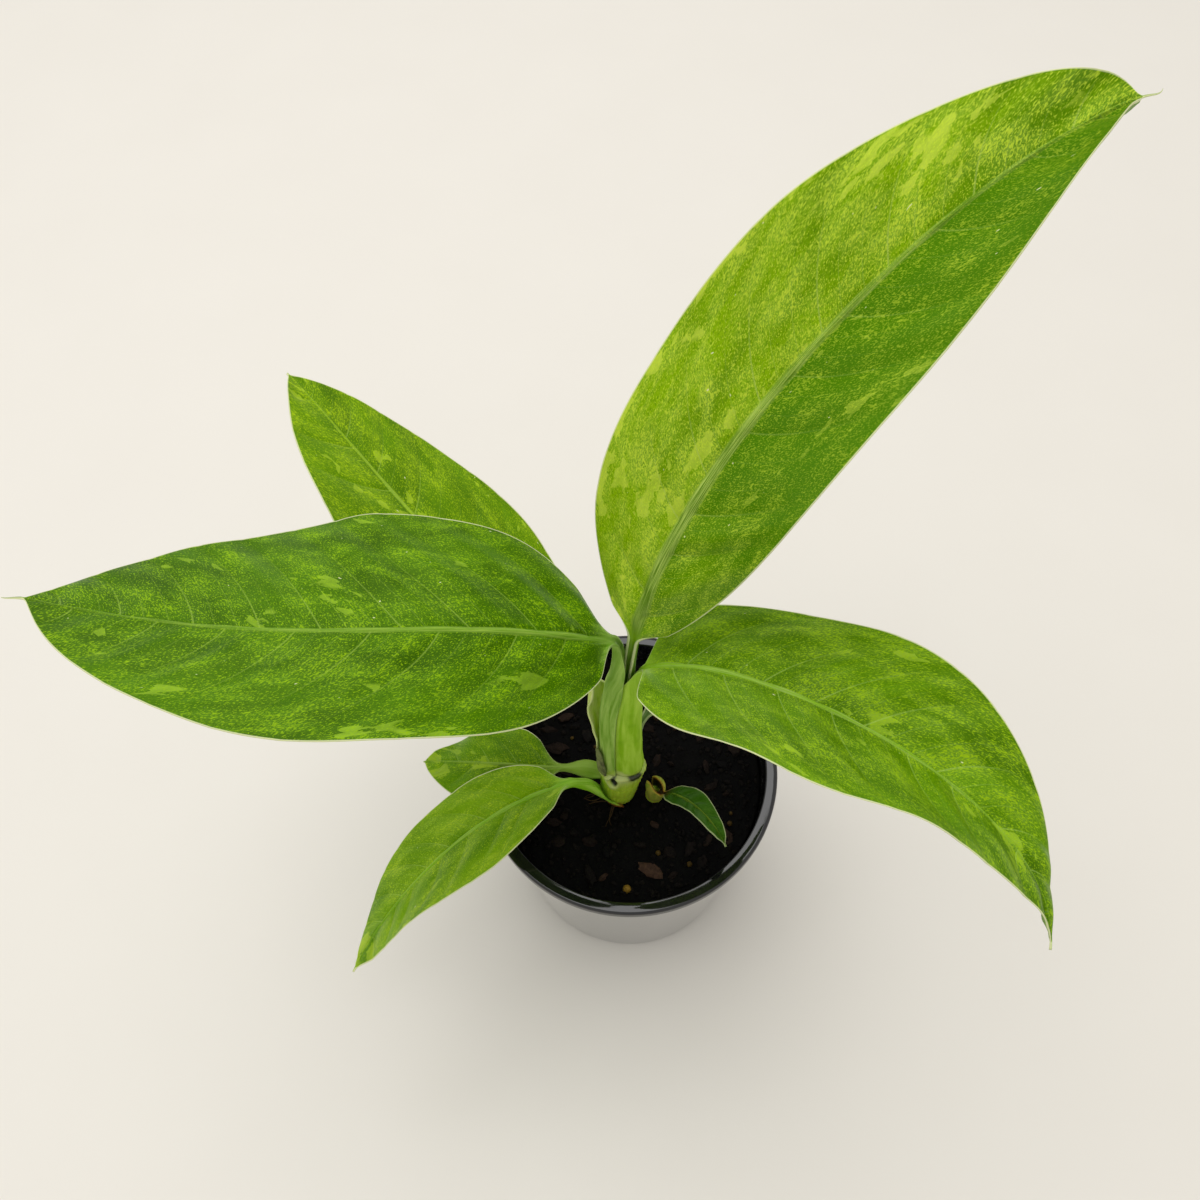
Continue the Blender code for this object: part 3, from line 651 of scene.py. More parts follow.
def ramp(value, limits):
    """A soft step from 0 at the first limit to 1 at the second."""
    return smoothstep((value - limits[0]) / (limits[1] - limits[0]))


def mix(a, b, share):
    """The value that lies a share of the way from a to b."""
    return a + (b - a) * share


# Meshes and pieces


def mesh_from(name, points, faces):
    """A smooth-shaded mesh in metres from points in millimetres."""
    made = bpy.data.meshes.new(name)
    made.from_pydata(np.reshape(points, (-1, 3)) * MM, [], faces)
    made.update()
    made.shade_smooth()
    return made


def mesh_of(name, form):
    """A mesh from a form that was edited in memory."""
    made = bpy.data.meshes.new(name)
    form.to_mesh(made)
    form.free()
    return made


def store(mesh, name, *columns, kind="FLOAT_VECTOR"):
    """Keep a value for each point of a mesh as an attribute, from its columns of numbers."""
    layer = mesh.attributes.new(name, kind, "POINT")
    values = np.stack([np.ravel(column) for column in columns], axis=-1).ravel()
    values = values.astype(np.int32 if kind == "INT" else np.float32)
    layer.data.foreach_set("vector" if kind == "FLOAT_VECTOR" else "value", values)


def linked(name, data):
    """A new object in the scene."""
    made = bpy.data.objects.new(name, data)
    bpy.context.scene.collection.objects.link(made)
    return made


def applied(maker):
    """The plain mesh that an object's modifiers make of it. The object is removed."""
    bpy.context.view_layer.update()
    graph = bpy.context.evaluated_depsgraph_get()
    made = bpy.data.meshes.new_from_object(maker.evaluated_get(graph))
    maker.modifiers.clear()
    bpy.data.objects.remove(maker, do_unlink=True)
    return made


def finish_piece(name, mesh, finish, slot_name, *nodes):
    """Link a mesh as one piece on the plant's body, in place of the CAD nodes that it stands for."""
    if finish:
        mesh.materials.clear()
        mesh.materials.append(finish)
    piece = linked(name, mesh)
    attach(piece, BODY)
    if nodes:
        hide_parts(*nodes)


def shell_faces(rows, columns):
    """Faces of a closed shell: an upper grid, a lower one, and the edges that join them."""
    under = rows * columns
    corner = (np.arange(rows - 1)[:, None] * columns + np.arange(columns - 1)[None, :]).ravel()
    beyond = corner + columns
    upper = np.stack([corner, corner + 1, beyond + 1, beyond], axis=1)
    lower = np.stack([corner, beyond, beyond + 1, corner + 1], axis=1) + under
    left = np.arange(rows - 1) * columns
    left_edge = np.stack([left, left + columns, left + columns + under, left + under], axis=1)
    right = left + columns - 1
    right_edge = np.stack([right, right + under, right + columns + under, right + columns], axis=1)
    foot = np.arange(columns - 1)
    foot_edge = np.stack([foot, foot + under, foot + 1 + under, foot + 1], axis=1)
    end = foot + (rows - 1) * columns
    end_edge = np.stack([end, end + 1, end + 1 + under, end + under], axis=1)
    return np.concatenate([upper, lower, left_edge, right_edge, foot_edge, end_edge]).tolist()


def turned(radius, height, around, place=(0.0, 0.0)):
    """Points at a radius, a height and an angle round a place."""
    x = place[0] + radius * np.cos(around)
    y = place[1] + radius * np.sin(around)
    return np.stack([x, y, height + 0 * x], axis=-1)


def turned_grid(profile, heights, segments):
    """Radius, height and angle of each point of a turned grid that follows a profile."""
    radii, levels = zip(*profile)
    angles = tau * np.arange(segments) / segments
    height, around = np.meshgrid(heights, angles, indexing="ij")
    return np.interp(height, levels, radii), height, around


def bands(rows, segments, first=0):
    """Faces of a turned grid: a ring of them between each row of points and the next."""
    low = first + np.arange(rows - 1)[:, None] * segments
    here = np.arange(segments)[None, :]
    after = (here + 1) % segments
    high = low + segments
    corners = [low + here, low + after, high + after, high + here]
    return np.stack(corners, axis=-1).reshape(-1, 4).tolist()


def lidded(rows, segments):
    """Faces of a turned grid with a lid at each end."""
    foot = tuple(reversed(range(segments)))
    return [*bands(rows, segments), foot, tuple(range((rows - 1) * segments, rows * segments))]


# The way the leaves run


def stem_axis(heights, place):
    """Where the middle of the wrapped stalks is at each height."""
    lean = ramp(heights, LEAN_SPAN)
    x = place[0] + STEM_LEAN[0] * lean
    y = place[1] + STEM_LEAN[1] * lean
    return np.stack([x, y, heights], axis=-1)


def flattened(points):
    """Points of the plant, pressed towards the stem's middle plane where the stalks are wrapped."""
    middle = stem_axis(points[..., 2], STEM_PLACE)
    from_axis = np.hypot(points[..., 0] - middle[..., 0], points[..., 1] - middle[..., 1])
    level = ramp(points[..., 2], FLAT_START) * (1.0 - ramp(points[..., 2], FLAT_END))
    press = 1.0 - STEM_FLATNESS * level * (1.0 - ramp(from_axis, FLAT_REACH))
    made = points.copy()
    made[..., 1] = middle[..., 1] + (points[..., 1] - middle[..., 1]) * press
    return made


def even_bezier(handles, count):
    """Points at even lengths along a cubic Bezier curve."""
    a, b, c, d = (np.array(p, float) for p in handles)
    share = np.linspace(0.0, 1.0, 1201)[:, None]
    rest = 1.0 - share
    fine = a * rest**3 + 3 * b * rest**2 * share + 3 * c * rest * share**2 + d * share**3
    steps = np.linalg.norm(np.diff(fine, axis=0), axis=1)
    lengths = np.concatenate([[0.0], np.cumsum(steps)])
    targets = np.linspace(0.0, lengths[-1], count)
    return np.stack([np.interp(targets, lengths, fine[:, k]) for k in range(3)], axis=1)


def filled_sheath(rings, step):
    """Rows of height, inner radius, wrap and the two walls, close together up a sheath."""
    levels = np.array([astuple(ring) for ring in rings])
    rows = [levels[:1]]
    for low, high in zip(levels, levels[1:]):
        count = max(1, round((high[0] - low[0]) / step))
        share = np.arange(1, count + 1)[:, None] / count
        part = low + (high - low) * smoothstep(share)
        part[:, 0] = mix(low[0], high[0], share[:, 0])
        rows.append(part)
    return np.concatenate(rows)


def directions(path):
    """The direction of travel at each point of a path."""
    ahead = np.concatenate([path[1:], path[-1:]])
    behind = np.concatenate([path[:1], path[:-1]])
    way = ahead - behind
    return way / np.linalg.norm(way, axis=1, keepdims=True)


def level_ways(angle):
    """The level direction at an angle round the plant, and the one to its right."""
    return np.array((cos(angle), sin(angle), 0.0)), np.array((sin(angle), -cos(angle), 0.0))


def frames_along(along, side, roll):
    """The side and upper directions across a leaf at each row."""
    level = side - along * np.sum(side * along, axis=1, keepdims=True)
    level /= np.linalg.norm(level, axis=1, keepdims=True)
    upper = np.cross(level, along)
    turn_cos = np.cos(roll)[:, None]
    turn_sin = np.sin(roll)[:, None]
    return level * turn_cos + upper * turn_sin, upper * turn_cos - level * turn_sin


def crescents(levels, across):
    """Upper and lower points of a sheath's rows in their own plane, and two distances of each.

    The distances are those from the keel and from the sheath's free edge.
    """
    inner = levels[:, 1:2]
    wrap = np.radians(levels[:, 2:3])
    angle = wrap * across[None, :]
    swell = np.maximum(0.0, np.cos(pi * across / 2))[None, :] ** 2.5
    outer = inner + mix(levels[:, 4:5], levels[:, 3:4], swell)
    top = np.stack([np.sin(angle) * inner, inner - np.cos(angle) * inner], axis=-1)
    low = np.stack([np.sin(angle) * outer, inner - np.cos(angle) * outer], axis=-1)
    round_keel = np.abs(angle) * (inner + 0.5)
    return top, low, round_keel, wrap * (inner + 0.5) - round_keel


def placed(sections, path, right, upper):
    """Points in space from the points of each row in its own plane."""
    across = right[None, :, None, :] * sections[..., 0:1]
    return path[None, :, None, :] + across + upper[None, :, None, :] * sections[..., 1:2]


def outline_of(leaf, share):
    """Shares of the half width at shares of the length."""

    def raw(value):
        """The outline before it is scaled to a greatest width of 1."""
        taper = 1.0 - np.exp(-(1.0 - value) / leaf.tip_taper)
        return value**leaf.base_fullness * (1.0 - value) ** leaf.tip_fullness * taper

    return raw(share) / raw(np.arange(400) / 400).max()


def blade_rows(leaf, share, length, settings):
    """The rows of a blade, each in its own plane, with what its pattern follows.

    They are the upper and the lower points, the distances from the midrib, less than nothing on
    the left, and from the margin, where a point's side vein leaves the midrib, and its number.
    """
    across = np.linspace(-1.0, 1.0, 2 * leaf.columns_each_side + 1)
    across = across - MARGIN_CROWDING * np.sin(tau * across) / tau
    place = across[None, :]
    share = share[:, None]
    draw = np.random.default_rng(leaf.seed)
    fold = np.radians(mix(leaf.fold[0], leaf.fold[1], share))
    full = outline_of(leaf, share)
    strength = np.minimum(1.0, WAVE_ONSET * full)
    rightward = place >= 0
    outward = np.abs(place)
    wider = np.where(rightward, 1 + leaf.wider_right, 1 - leaf.wider_right)
    width = np.maximum(leaf.half_width * wider * full, settings.tip_width / MM)
    reach = outward * width
    lifts = []
    for wave in (leaf.left_wave, leaf.right_wave):
        lifts.append(wave.height * np.sin(tau * (wave.crests * share + wave.start)))
    lift = np.where(rightward, lifts[1], lifts[0]) * strength * place**2

    # Each side vein leaves the midrib and sweeps forward to the margin
    start = share * length - width * (VEIN_SWEEP[0] * outward + VEIN_SWEEP[1] * outward**2)
    count = int(length / leaf.vein_spacing) + 2 * VEINS_BEFORE_BASE
    spots = (np.arange(count) - VEINS_BEFORE_BASE) * leaf.vein_spacing
    number = np.zeros_like(start)
    for side in (False, True):
        jitter = draw.uniform(-VEIN_JITTER, VEIN_JITTER, count)
        crossing = spots + (jitter + 0.5 * side) * leaf.vein_spacing
        found = np.interp(start, crossing, np.arange(count, dtype=float))
        number = np.where(rightward == side, found, number)
    off_vein = np.abs(number - np.round(number))
    slope = np.hypot(1.0, VEIN_SWEEP[0] + 2 * VEIN_SWEEP[1] * outward)
    from_vein = off_vein * leaf.vein_spacing / slope
    fade = ramp(outward, (0.0, 0.08)) * (1.0 - 0.75 * ramp(outward, (0.5, 0.95)))
    relief = -settings.vein_depth / MM * np.exp(-((from_vein / VEIN_SPREAD) ** 2)) * fade
    crown = np.sin(pi * off_vein) ** 2 - 0.5
    relief = relief + leaf.pucker * crown * np.sin(pi * outward**0.8) ** 0.8 * strength
    ripple = np.sin(start / RIPPLE_SPANS[0] + 2 * place)
    ripple = ripple * np.sin(reach / RIPPLE_SPANS[1] + 11 * share + leaf.seed)
    relief = relief + RIPPLE_HEIGHT * ripple * strength * ramp(outward, (0.05, 0.3))

    # The midrib is a low ridge between two furrows
    rib_half = mix(leaf.rib_width[0], leaf.rib_width[1], share**0.7)
    furrow = np.exp(-(((reach - 1.2 * rib_half) / (0.45 * rib_half)) ** 2))
    ridge = np.exp(-((reach / (0.6 * rib_half)) ** 2))
    relief = relief + (0.3 * ridge - 0.4 * furrow) * (1.0 - 0.5 * share)

    lift_by_fold = (np.sqrt(reach**2 + FOLD_SOFTNESS**2) - FOLD_SOFTNESS) * np.sin(fold)
    rise = lift_by_fold - leaf.curl * width * place**2 + lift + relief
    top = np.stack([place * width * np.cos(fold), rise], axis=-1)
    rib = leaf.rib * (1.0 - 0.8 * share) * (1.0 - ramp(share, (0.9, 1.0)))
    swelling = rib * np.exp(-((reach / RIB_SPREAD) ** 2))
    to_margin = (1.0 - outward) * width
    thick = np.minimum(settings.thickness / MM, MARGIN_THICKNESS + 0.6 * to_margin) + swelling
    lean = np.where(rightward, 1.0, -1.0) * np.sin(fold) * ramp(reach, (0.0, 2.0))
    low = np.stack([top[..., 0] + lean * thick, rise - np.cos(fold) * thick], axis=-1)
    nothing = np.zeros_like(reach)
    return top, low, place * width, to_margin + nothing, start + nothing, number


@dataclass
class Way:
    """The rows of a leaf from the foot of its sheath to its tip."""

    path: np.ndarray
    levels: np.ndarray  # height, inner radius, wrap and walls of the sheath and the stalk
    right: np.ndarray
    upper: np.ndarray
    up_stalk: np.ndarray
    share: np.ndarray  # of the blade's length
    length: float  # of the blade
    blade_at: int  # the row where the blade starts


def leaf_way(leaf):
    """The way of a leaf, up its sheath, along its stalk and along its midrib."""
    base, handle, _, tip = (np.array(point, float) for point in leaf.midrib)
    toward = atan2(tip[1] - base[1], tip[0] - base[0])
    keel, keel_side = level_ways(toward + radians(leaf.keel_turn))
    blade_side = level_ways(toward)[1]
    sheath = filled_sheath(leaf.sheath, SHEATH_ROW_STEP)
    sheath_path = stem_axis(sheath[:, 0], leaf.place) + keel * sheath[:, 1:2]
    end = sheath_path[-1]
    gap = np.linalg.norm(base - end)
    near = end + directions(sheath_path)[-1] * gap * leaf.stalk_handles[0]
    arriving = (handle - base) / np.linalg.norm(handle - base)
    far = base - arriving * gap * leaf.stalk_handles[1]
    stalk_path = even_bezier((end, near, far, base), STALK_ROWS + 1)[1:-1]
    blade_path = even_bezier(leaf.midrib, leaf.rows)
    length = np.linalg.norm(np.diff(blade_path, axis=0), axis=1).sum()
    path = np.concatenate([sheath_path, stalk_path, blade_path])
    blade_at = len(path) - leaf.rows
    row = np.arange(len(path))
    up_stalk = smoothstep((row - len(sheath) + 1) / STALK_ROWS)
    share = np.maximum(0, row - blade_at) / (leaf.rows - 1)

    levels = mix(sheath[-1], np.array(astuple(leaf.stalk)), up_stalk[:, None])
    levels[: len(sheath)] = sheath
    base_roll, middle_roll, tip_roll = leaf.roll
    square = 2 * (base_roll + tip_roll - 2 * middle_roll)
    roll = base_roll + (tip_roll - base_roll - square) * share + square * share * share
    side = mix(keel_side, blade_side, up_stalk[:, None])
    right, upper = frames_along(directions(path), side, np.radians(roll) * up_stalk)
    return Way(path, levels, right, upper, up_stalk, share, length, blade_at)


def leaf_mesh(leaf, settings):
    """The fine mesh of a leaf, with the attributes that its material reads."""
    way = leaf_way(leaf)
    blade_at = way.blade_at
    opened = ramp(way.share * way.length, (0.0, JOIN_LENGTH))
    even = np.linspace(-1.0, 1.0, 2 * leaf.columns_each_side + 1)
    top, low, reach, to_margin = crescents(way.levels, even)
    beside = np.sign(even)[None, :] * reach

    # The channel of some stalks is filled above
    edge_height = way.levels[:, 1] * (1.0 - np.cos(np.radians(way.levels[:, 2])))
    full_top = edge_height[:, None] * (1.0 + STALK_CROWN * (1.0 - even[None, :] ** 2))
    filled = (leaf.stalk_fill * ramp(way.up_stalk, (0.0, 0.35)))[:, None]
    top[..., 1] = mix(top[..., 1], full_top, filled)

    # The stalk opens into the blade
    steps = np.linalg.norm(np.diff(way.path, axis=0), axis=1)
    run = np.concatenate([[0.0], np.cumsum(steps)])
    start = (run - run[blade_at])[:, None] + 0 * beside
    stalk_rows = [top, low, beside, to_margin, start, start / leaf.vein_spacing]
    on_blade = blade_rows(leaf, way.share[blade_at:], way.length, settings)
    for values, wanted in zip(stalk_rows, on_blade):
        wide = np.reshape(opened[blade_at:], (-1,) + (1,) * (values.ndim - 1))
        values[blade_at:] = mix(values[blade_at:], wanted, wide)
    points = placed(np.stack([top, low]), way.path, way.right, way.upper)
    values = [*stalk_rows[2:], opened[:, None] + 0 * beside, way.share[:, None] + 0 * beside]
    if leaf.hair:
        tip = way.path[-1]
        hair_path = even_bezier((tip, *(tip + np.array(p) for p in leaf.hair)), HAIR_ROWS + 1)[1:]
        thin = 1.0 - HAIR_THINNING * np.arange(1, HAIR_ROWS + 1) / HAIR_ROWS
        last_row = points[:, -1:] - tip
        hair = hair_path[None, :, None, :] + last_row * thin[None, :, None, None]
        points = np.concatenate([points, hair], axis=1)
        values = [np.pad(value, ((0, HAIR_ROWS), (0, 0)), mode="edge") for value in values]
    rows, columns = points.shape[1:3]
    points = points.reshape(-1, 3)
    mesh = mesh_from(leaf.name, flattened(points), shell_faces(rows, columns))
    beside, to_margin, start, number, blade_share, along = (np.tile(v.ravel(), 2) for v in values)
    under = np.repeat((0.0, 1.0), rows * columns)
    swept = VEIN_SWEEP[0] + VEIN_SWEEP[1] * np.abs(beside) / leaf.half_width
    store(mesh, "vein_place", start, beside * np.hypot(1.0, swept), under * UNDERSIDE_SHIFT + leaf.seed)
    store(mesh, "leaf_place", along, to_margin, number)
    store(mesh, "leaf_part", blade_share, under, beside)
    store_marks(mesh, points)
    return mesh


LEAF_NOISES = (
    # name, three sizes in mm, detail, roughness, warp and shift
    ("broad", (34, 19, 1), 2.0, 0.5, 0.0, 0.0),
    ("crowd", (30, 20, 1), 2.0, 0.5, 0.3, 77.0),
    ("ragged", (4.0, 3.0, 1), 3.0, 0.6, 0.0, 31.0),
    ("fleck", (0.42, 0.55, 1), 2.0, 0.6, 0.3, 5.0),
    ("dash", (0.9, 1.7, 1), 2.0, 0.6, 0.5, 23.0),
    ("dark", (0.6, 0.9, 1), 3.0, 0.6, 0.2, 93.0),
    ("flush", (11, 8, 1), 3.0, 0.6, 0.3, 51.0),
    ("spot", (2.2, 1.9, 1), 1.0, 0.5, 0.4, 13.0),
    ("stripes", (12, 0.24, 1), 3.0, 0.6, 0.2, 3.0),
    ("streaks", (26, 2.4, 1), 4.0, 0.55, 0.5, 19.0),
    ("wax", (9, 9, 1), 3.0, 0.6, 0.0, 41.0),
    ("cells", (0.5, 0.9, 1), 3.0, 0.65, 0.0, 61.0),
)


def leaf_masks(leaf, settings, node, noises):
    """Where each tone and each part of a leaf shows, by name."""
    look = leaf.look
    stored = []
    for name in ("leaf_place", "leaf_part", "joint_skin"):
        spot = node("ShaderNodeAttribute", attribute_name=name, out="Vector")
        stored += node("ShaderNodeSeparateXYZ", [spot]).node.outputs
    along, to_margin, number, blade, under, beside, below = stored[:7]
    spot = node("ShaderNodeTexCoord", out="Object")
    height = node("ShaderNodeSeparateXYZ", [spot], out=2)
    foot = leaf.sheath[0].height
    margin_mm = settings.margin_width / MM
    flush = noises["flush"]
    masks = {"blade": blade, "under": under, "below": below}
    for name, *values in (
        # name, what it follows, the span of that, and what both ends become
        # The left half painted lighter, partly paler tissue and partly painted light
        ("paler", beside, 1.0, -1.5, 0, 1),
        ("paler_scale", along, 0, 1, 1.35 * look.paler_and_lit_left, 0.15 * look.paler_and_lit_left),
        # Painted shade over the right half, growing towards the tip
        ("deeper", beside, -1.5, 1.0, 0, look.shaded_right),
        ("deeper_scale", along, 0, 0.4, 0.1, 1),
        ("tone", noises["broad"], 0.36, 0.64, 0, 0.8),
        ("patch_depth", flush, 0.3, 0.7, 0.35, 0.85),
        # Greyish clouds of painted sheen
        ("cloud", flush, 0.42, 0.68, 0, 0.55),
        ("dark", noises["dark"], 0.50, 0.64, 0, 0.6),
        ("cream_spot", noises["spot"], 0.79, 0.81, 0, 1),
        ("rib_half", along, 0, 1, *leaf.rib_width),
        ("on_rib_scale", along, 1.2, 0.3, 0, 1),
        ("stripe", noises["stripes"], 0.4, 0.62, 0, 1),
        ("stripe_scale", along, 0, 0.12, 0.15, 1),
        ("streak", noises["streaks"], 0.38, 0.72, 0, 1),
        ("shade", noises["wax"], 0.46, 0.66, 0, 0.4),
        ("margin", to_margin, 1.2 * margin_mm, 0.6 * margin_mm, 0, look.margin),
        ("margin_scale", blade, 0, 1, look.stalk_margin, 1),
        ("foot", height, (foot + 4) * MM, (foot + 1) * MM, 0, look.foot_depth),
        # The inner face, where the painted shade of an open sheath goes
        ("inside", under, 0.6, 0.3, 0, 1),
        ("rough", noises["wax"], 0, 1, *settings.gloss),
    ):
        masks[name] = node("ShaderNodeMapRange", values)

    # Fine flecks, drawn out along the side veins
    for name, lean, edge, soft, depth in (
        ("fleck", 0.25, 0.71 - 0.06 * look.flecks, 0.09, 0.85),
        ("dash", 0.45, 0.93 - 0.10 * look.flecks, 0.05, 0.7),
    ):
        fleck = node("ShaderNodeMath", [flush, lean, noises[name]], operation="MULTIPLY_ADD")
        masks[name] = node("ShaderNodeMapRange", [fleck, edge, edge + soft, 0, depth])

    # Pale side veins, each fading towards the margin
    veins = []
    for count, width, depth in ((1, 0.34, 0.5), (3, 0.22, 0.2)):
        finer = node("ShaderNodeMath", [number, count], operation="MULTIPLY")
        off_vein = node("ShaderNodeMath", [finer, 0.5], operation="PINGPONG")
        edge = width * count / leaf.vein_spacing
        veins.append(node("ShaderNodeMapRange", [off_vein, edge, 0.2 * edge, 0, depth]))
    masks["vein"] = node("ShaderNodeMath", veins, operation="MAXIMUM")
    from_rib = node("ShaderNodeMath", [beside], operation="ABSOLUTE")
    whole = node("ShaderNodeMath", [from_rib, to_margin], operation="ADD")
    outward = node("ShaderNodeMath", [from_rib, whole], operation="DIVIDE")
    masks["vein_scale"] = node("ShaderNodeMapRange", [outward, 0.85, 0.15])
    on_rib = node("ShaderNodeMath", [from_rib, masks["rib_half"]], operation="DIVIDE")
    masks["on_rib"] = node("ShaderNodeMapRange", [on_rib, 1.15, 0.6])
    for name in ("paler", "deeper", "stripe", "margin", "vein", "on_rib"):
        values = [masks[name], masks[f"{name}_scale"]]
        masks[name] = node("ShaderNodeMath", values, operation="MULTIPLY")
    # The lighter left half, partly painted light, lifts the tone
    values = [masks["tone"], masks["paler"]]
    masks["tone"] = node("ShaderNodeMath", values, operation="ADD", use_clamp=True)
    return masks


def patch_mask(leaf, node, place, noises, masks):
    """Cells with straight ragged edges, some of them pale, longer along the side veins."""
    patches = []
    wanted = 1.76 - 0.12 * leaf.look.patches
    for sizes, warp, shift in (((8.0, 5.5, 1.0), 1.0, 0.0), ((3.6, 2.7, 1.0), 0.9, 50.0)):
        bent = node("ShaderNodeMath", [noises["ragged"], warp], operation="MULTIPLY")
        values = [place, [1 / size for size in sizes], (shift, 0, 0)]
        moved = node("ShaderNodeVectorMath", values, operation="MULTIPLY_ADD")
        moved = node("ShaderNodeVectorMath", [moved, bent], operation="ADD")
        cell = node("ShaderNodeTexVoronoi", {"Vector": moved, "Scale": 1.0}, out="Color")
        chance = node("ShaderNodeSeparateXYZ", [cell])
        for helper, pull in ((noises["crowd"], 1.3), (masks["paler"], 0.25)):
            chance = node("ShaderNodeMath", [helper, pull, chance], operation="MULTIPLY_ADD")
        patches.append(node("ShaderNodeMapRange", [chance, wanted, wanted + 0.02]))
    patch = node("ShaderNodeMath", patches, operation="MAXIMUM")
    return node("ShaderNodeMath", [patch, masks["patch_depth"]], operation="MULTIPLY")


def leaf_tissue(leaf, settings):
    """Living leaf tissue, grown: a waxy green skin, mottled with patches and flecks of paler cells.

    The wax gives a soft sheen, helped by greyish clouds of painted sheen, and on some leaves one
    half is painted lighter, partly as painted light, and the other darkened with painted shade.
    The thin cream margin catches the light, and the midrib is pale and striped lengthwise. Sizes
    are in millimetres on the leaf itself.
    """
    look = leaf.look
    cream = settings.cream
    name = f"{leaf.name}_waxy_leaf_tissue"
    made, shader, node, place, noises = textured_material(name, "vein_place", LEAF_NOISES)
    masks = leaf_masks(leaf, settings, node, noises)
    masks["patch"] = patch_mask(leaf, node, place, noises, masks)

    # Under the painted shade of the right half its pattern is fainter
    softer = node("ShaderNodeMapRange", [masks["deeper"], 0, 1, 1.0, 0.42])
    for name in ("patch", "fleck", "dash", "vein"):
        masks[name] = node("ShaderNodeMath", [masks[name], softer], operation="MULTIPLY")
    layers = (
        ("tone", look.middle),
        # the greyish clouds are painted sheen
        ("cloud", look.cloud),
        ("dark", look.deep),
        # painted shade on the right half
        ("deeper", look.deep),
        ("patch", painted(node, look.light, ((0.06, cream),))),
        ("fleck", look.light),
        ("dash", look.light),
        ("cream_spot", cream),
        ("vein", look.rib),
        ("on_rib", painted(node, look.stalk, ((masks["stripe"], look.rib),))),
    )
    blade = painted(node, look.deep, [(masks[name], paint) for name, paint in layers])
    lower = painted(node, blade, ((0.45, settings.underside),))
    blade = painted(node, blade, ((masks["under"], lower),))

    # The stalk and the sheath
    layers = [("shade", look.middle), ("streak", look.streak), ("foot", look.foot)]
    if leaf.sheath[0].height > JOINT_FOOT:
        layers.append(("below", painted(node, JOINT_GREEN, joint_layers(node))))
    margin = cream
    # The inner face of an open sheath is painted dark: painted shade in its opening
    if look.mouth_shade:
        layers.append(("inside", look.mouth_shade))
        margin = painted(node, look.lip, ((masks["blade"], cream),))
    stalk = painted(node, look.stalk, [(masks[name], paint) for name, paint in layers])
    colour = painted(node, stalk, ((masks["blade"], blade), (masks["margin"], margin)))

    # Wax, and the small cells of the skin
    values = [masks["under"], 0.2, masks["rough"]]
    rough = node("ShaderNodeMath", values, operation="MULTIPLY_ADD")
    values = {"Specular IOR Level": 0.18, "Specular Tint": "#e4ff90", "Subsurface Weight": 0.1}
    values |= {"Subsurface Radius": (0.5, 0.8, 0.2), "Subsurface Scale": 0.8 * MM}
    dress(shader, node, colour, rough, (noises["cells"], 0.12, 0.5), values)
    return made


LENGTH = {"precision": 5, "unit": "LENGTH"}
COLOUR = {"subtype": "COLOR", "size": 4, "min": 0.0, "max": 1.0}


class LeafSettings(PropertyGroup):
    """Sizes and colours that all the leaves share."""

    thickness: FloatProperty(
        name="Blade Thickness",
        description="Thickness of a blade away from its midrib",
        default=0.55 * MM,
        min=0.2 * MM,
        max=2 * MM,
        **LENGTH,
    )
    margin_width: FloatProperty(
        name="Margin Width",
        description="Width of the cream line along a blade's edge",
        default=0.3 * MM,
        min=0.0,
        max=3 * MM,
        **LENGTH,
    )
    vein_depth: FloatProperty(
        name="Side Vein Depth",
        description="How deep the side veins are sunk in the upper surface",
        default=0.5 * MM,
        min=0.0,
        max=2 * MM,
        **LENGTH,
    )
    tip_width: FloatProperty(
        name="Tip Width",
        description="Half of a blade's width where its hair-thin tip starts",
        default=0.35 * MM,
        min=0.1 * MM,
        max=2 * MM,
        **LENGTH,
    )
    gloss: FloatVectorProperty(
        name="Wax Roughness",
        description="Least and greatest roughness of the waxy skin",
        size=2,
        default=(0.30, 0.46),
        min=0.0,
        max=1.0,
    )
    cream: FloatVectorProperty(
        name="Cream",
        description="Colour of the margins and of the few cream spots",
        default=srgb("#dfe2b0"),
        **COLOUR,
    )
    underside: FloatVectorProperty(
        name="Underside",
        description="Tint of the undersides",
        default=srgb("#8aa566"),
        **COLOUR,
    )


class MakeLeaves(Operator):
    """Make the seven leaves and the offshoot's one"""

    bl_idname = "dieffenbachia.make_leaves"
    bl_label = "Make Leaves"

    def execute(self, context):
        """Make each leaf in place of its solid."""
        settings = context.scene.dieffenbachia_leaves
        for leaf in LEAVES:
            mesh = leaf_mesh(leaf, settings)
            finish = leaf_tissue(leaf, settings)
            finish_piece(f"{leaf.name}_grown", mesh, finish, "leaf_tissue", leaf.name)
        return {"FINISHED"}


# The stem


def joint_marks(points):
    """How far points are from the marks at the joint, in half sizes of each.

    The last entry is how far below the line of the joint they are, from 0 to 1.
    """
    around = np.arctan2(points[:, 1] - STEM_PLACE[1], points[:, 0] - STEM_PLACE[0])
    marks = {}
    for name, (heading, level, wide, tall) in CANE_MARKS.items():
        apart = (around - radians(heading) + pi) % tau - pi
        marks[name] = np.hypot(apart * JOINT_RADIUS / wide, (points[:, 2] - level) / tall)
    line = np.interp(np.degrees(around), *zip(*JOINT_LINE))
    marks["below"] = ramp(line - points[:, 2], (-0.4, 0.4))
    return marks


def store_marks(mesh, points):
    """Store the joint's marks on a mesh for its material to read."""
    marks = joint_marks(points)
    nearness = [np.exp(-(marks[name] ** 4)) for name in ("pore", "scar", "bruise")]
    store(mesh, "joint_marks", *nearness)
    rim = 0.7 * np.exp(-(((marks["rim"] - 0.8) / 0.3) ** 2))
    pale = np.maximum(0.85 * np.exp(-(marks["pale"] ** 2)), rim)
    store(mesh, "joint_skin", marks["below"], pale, 0 * pale)


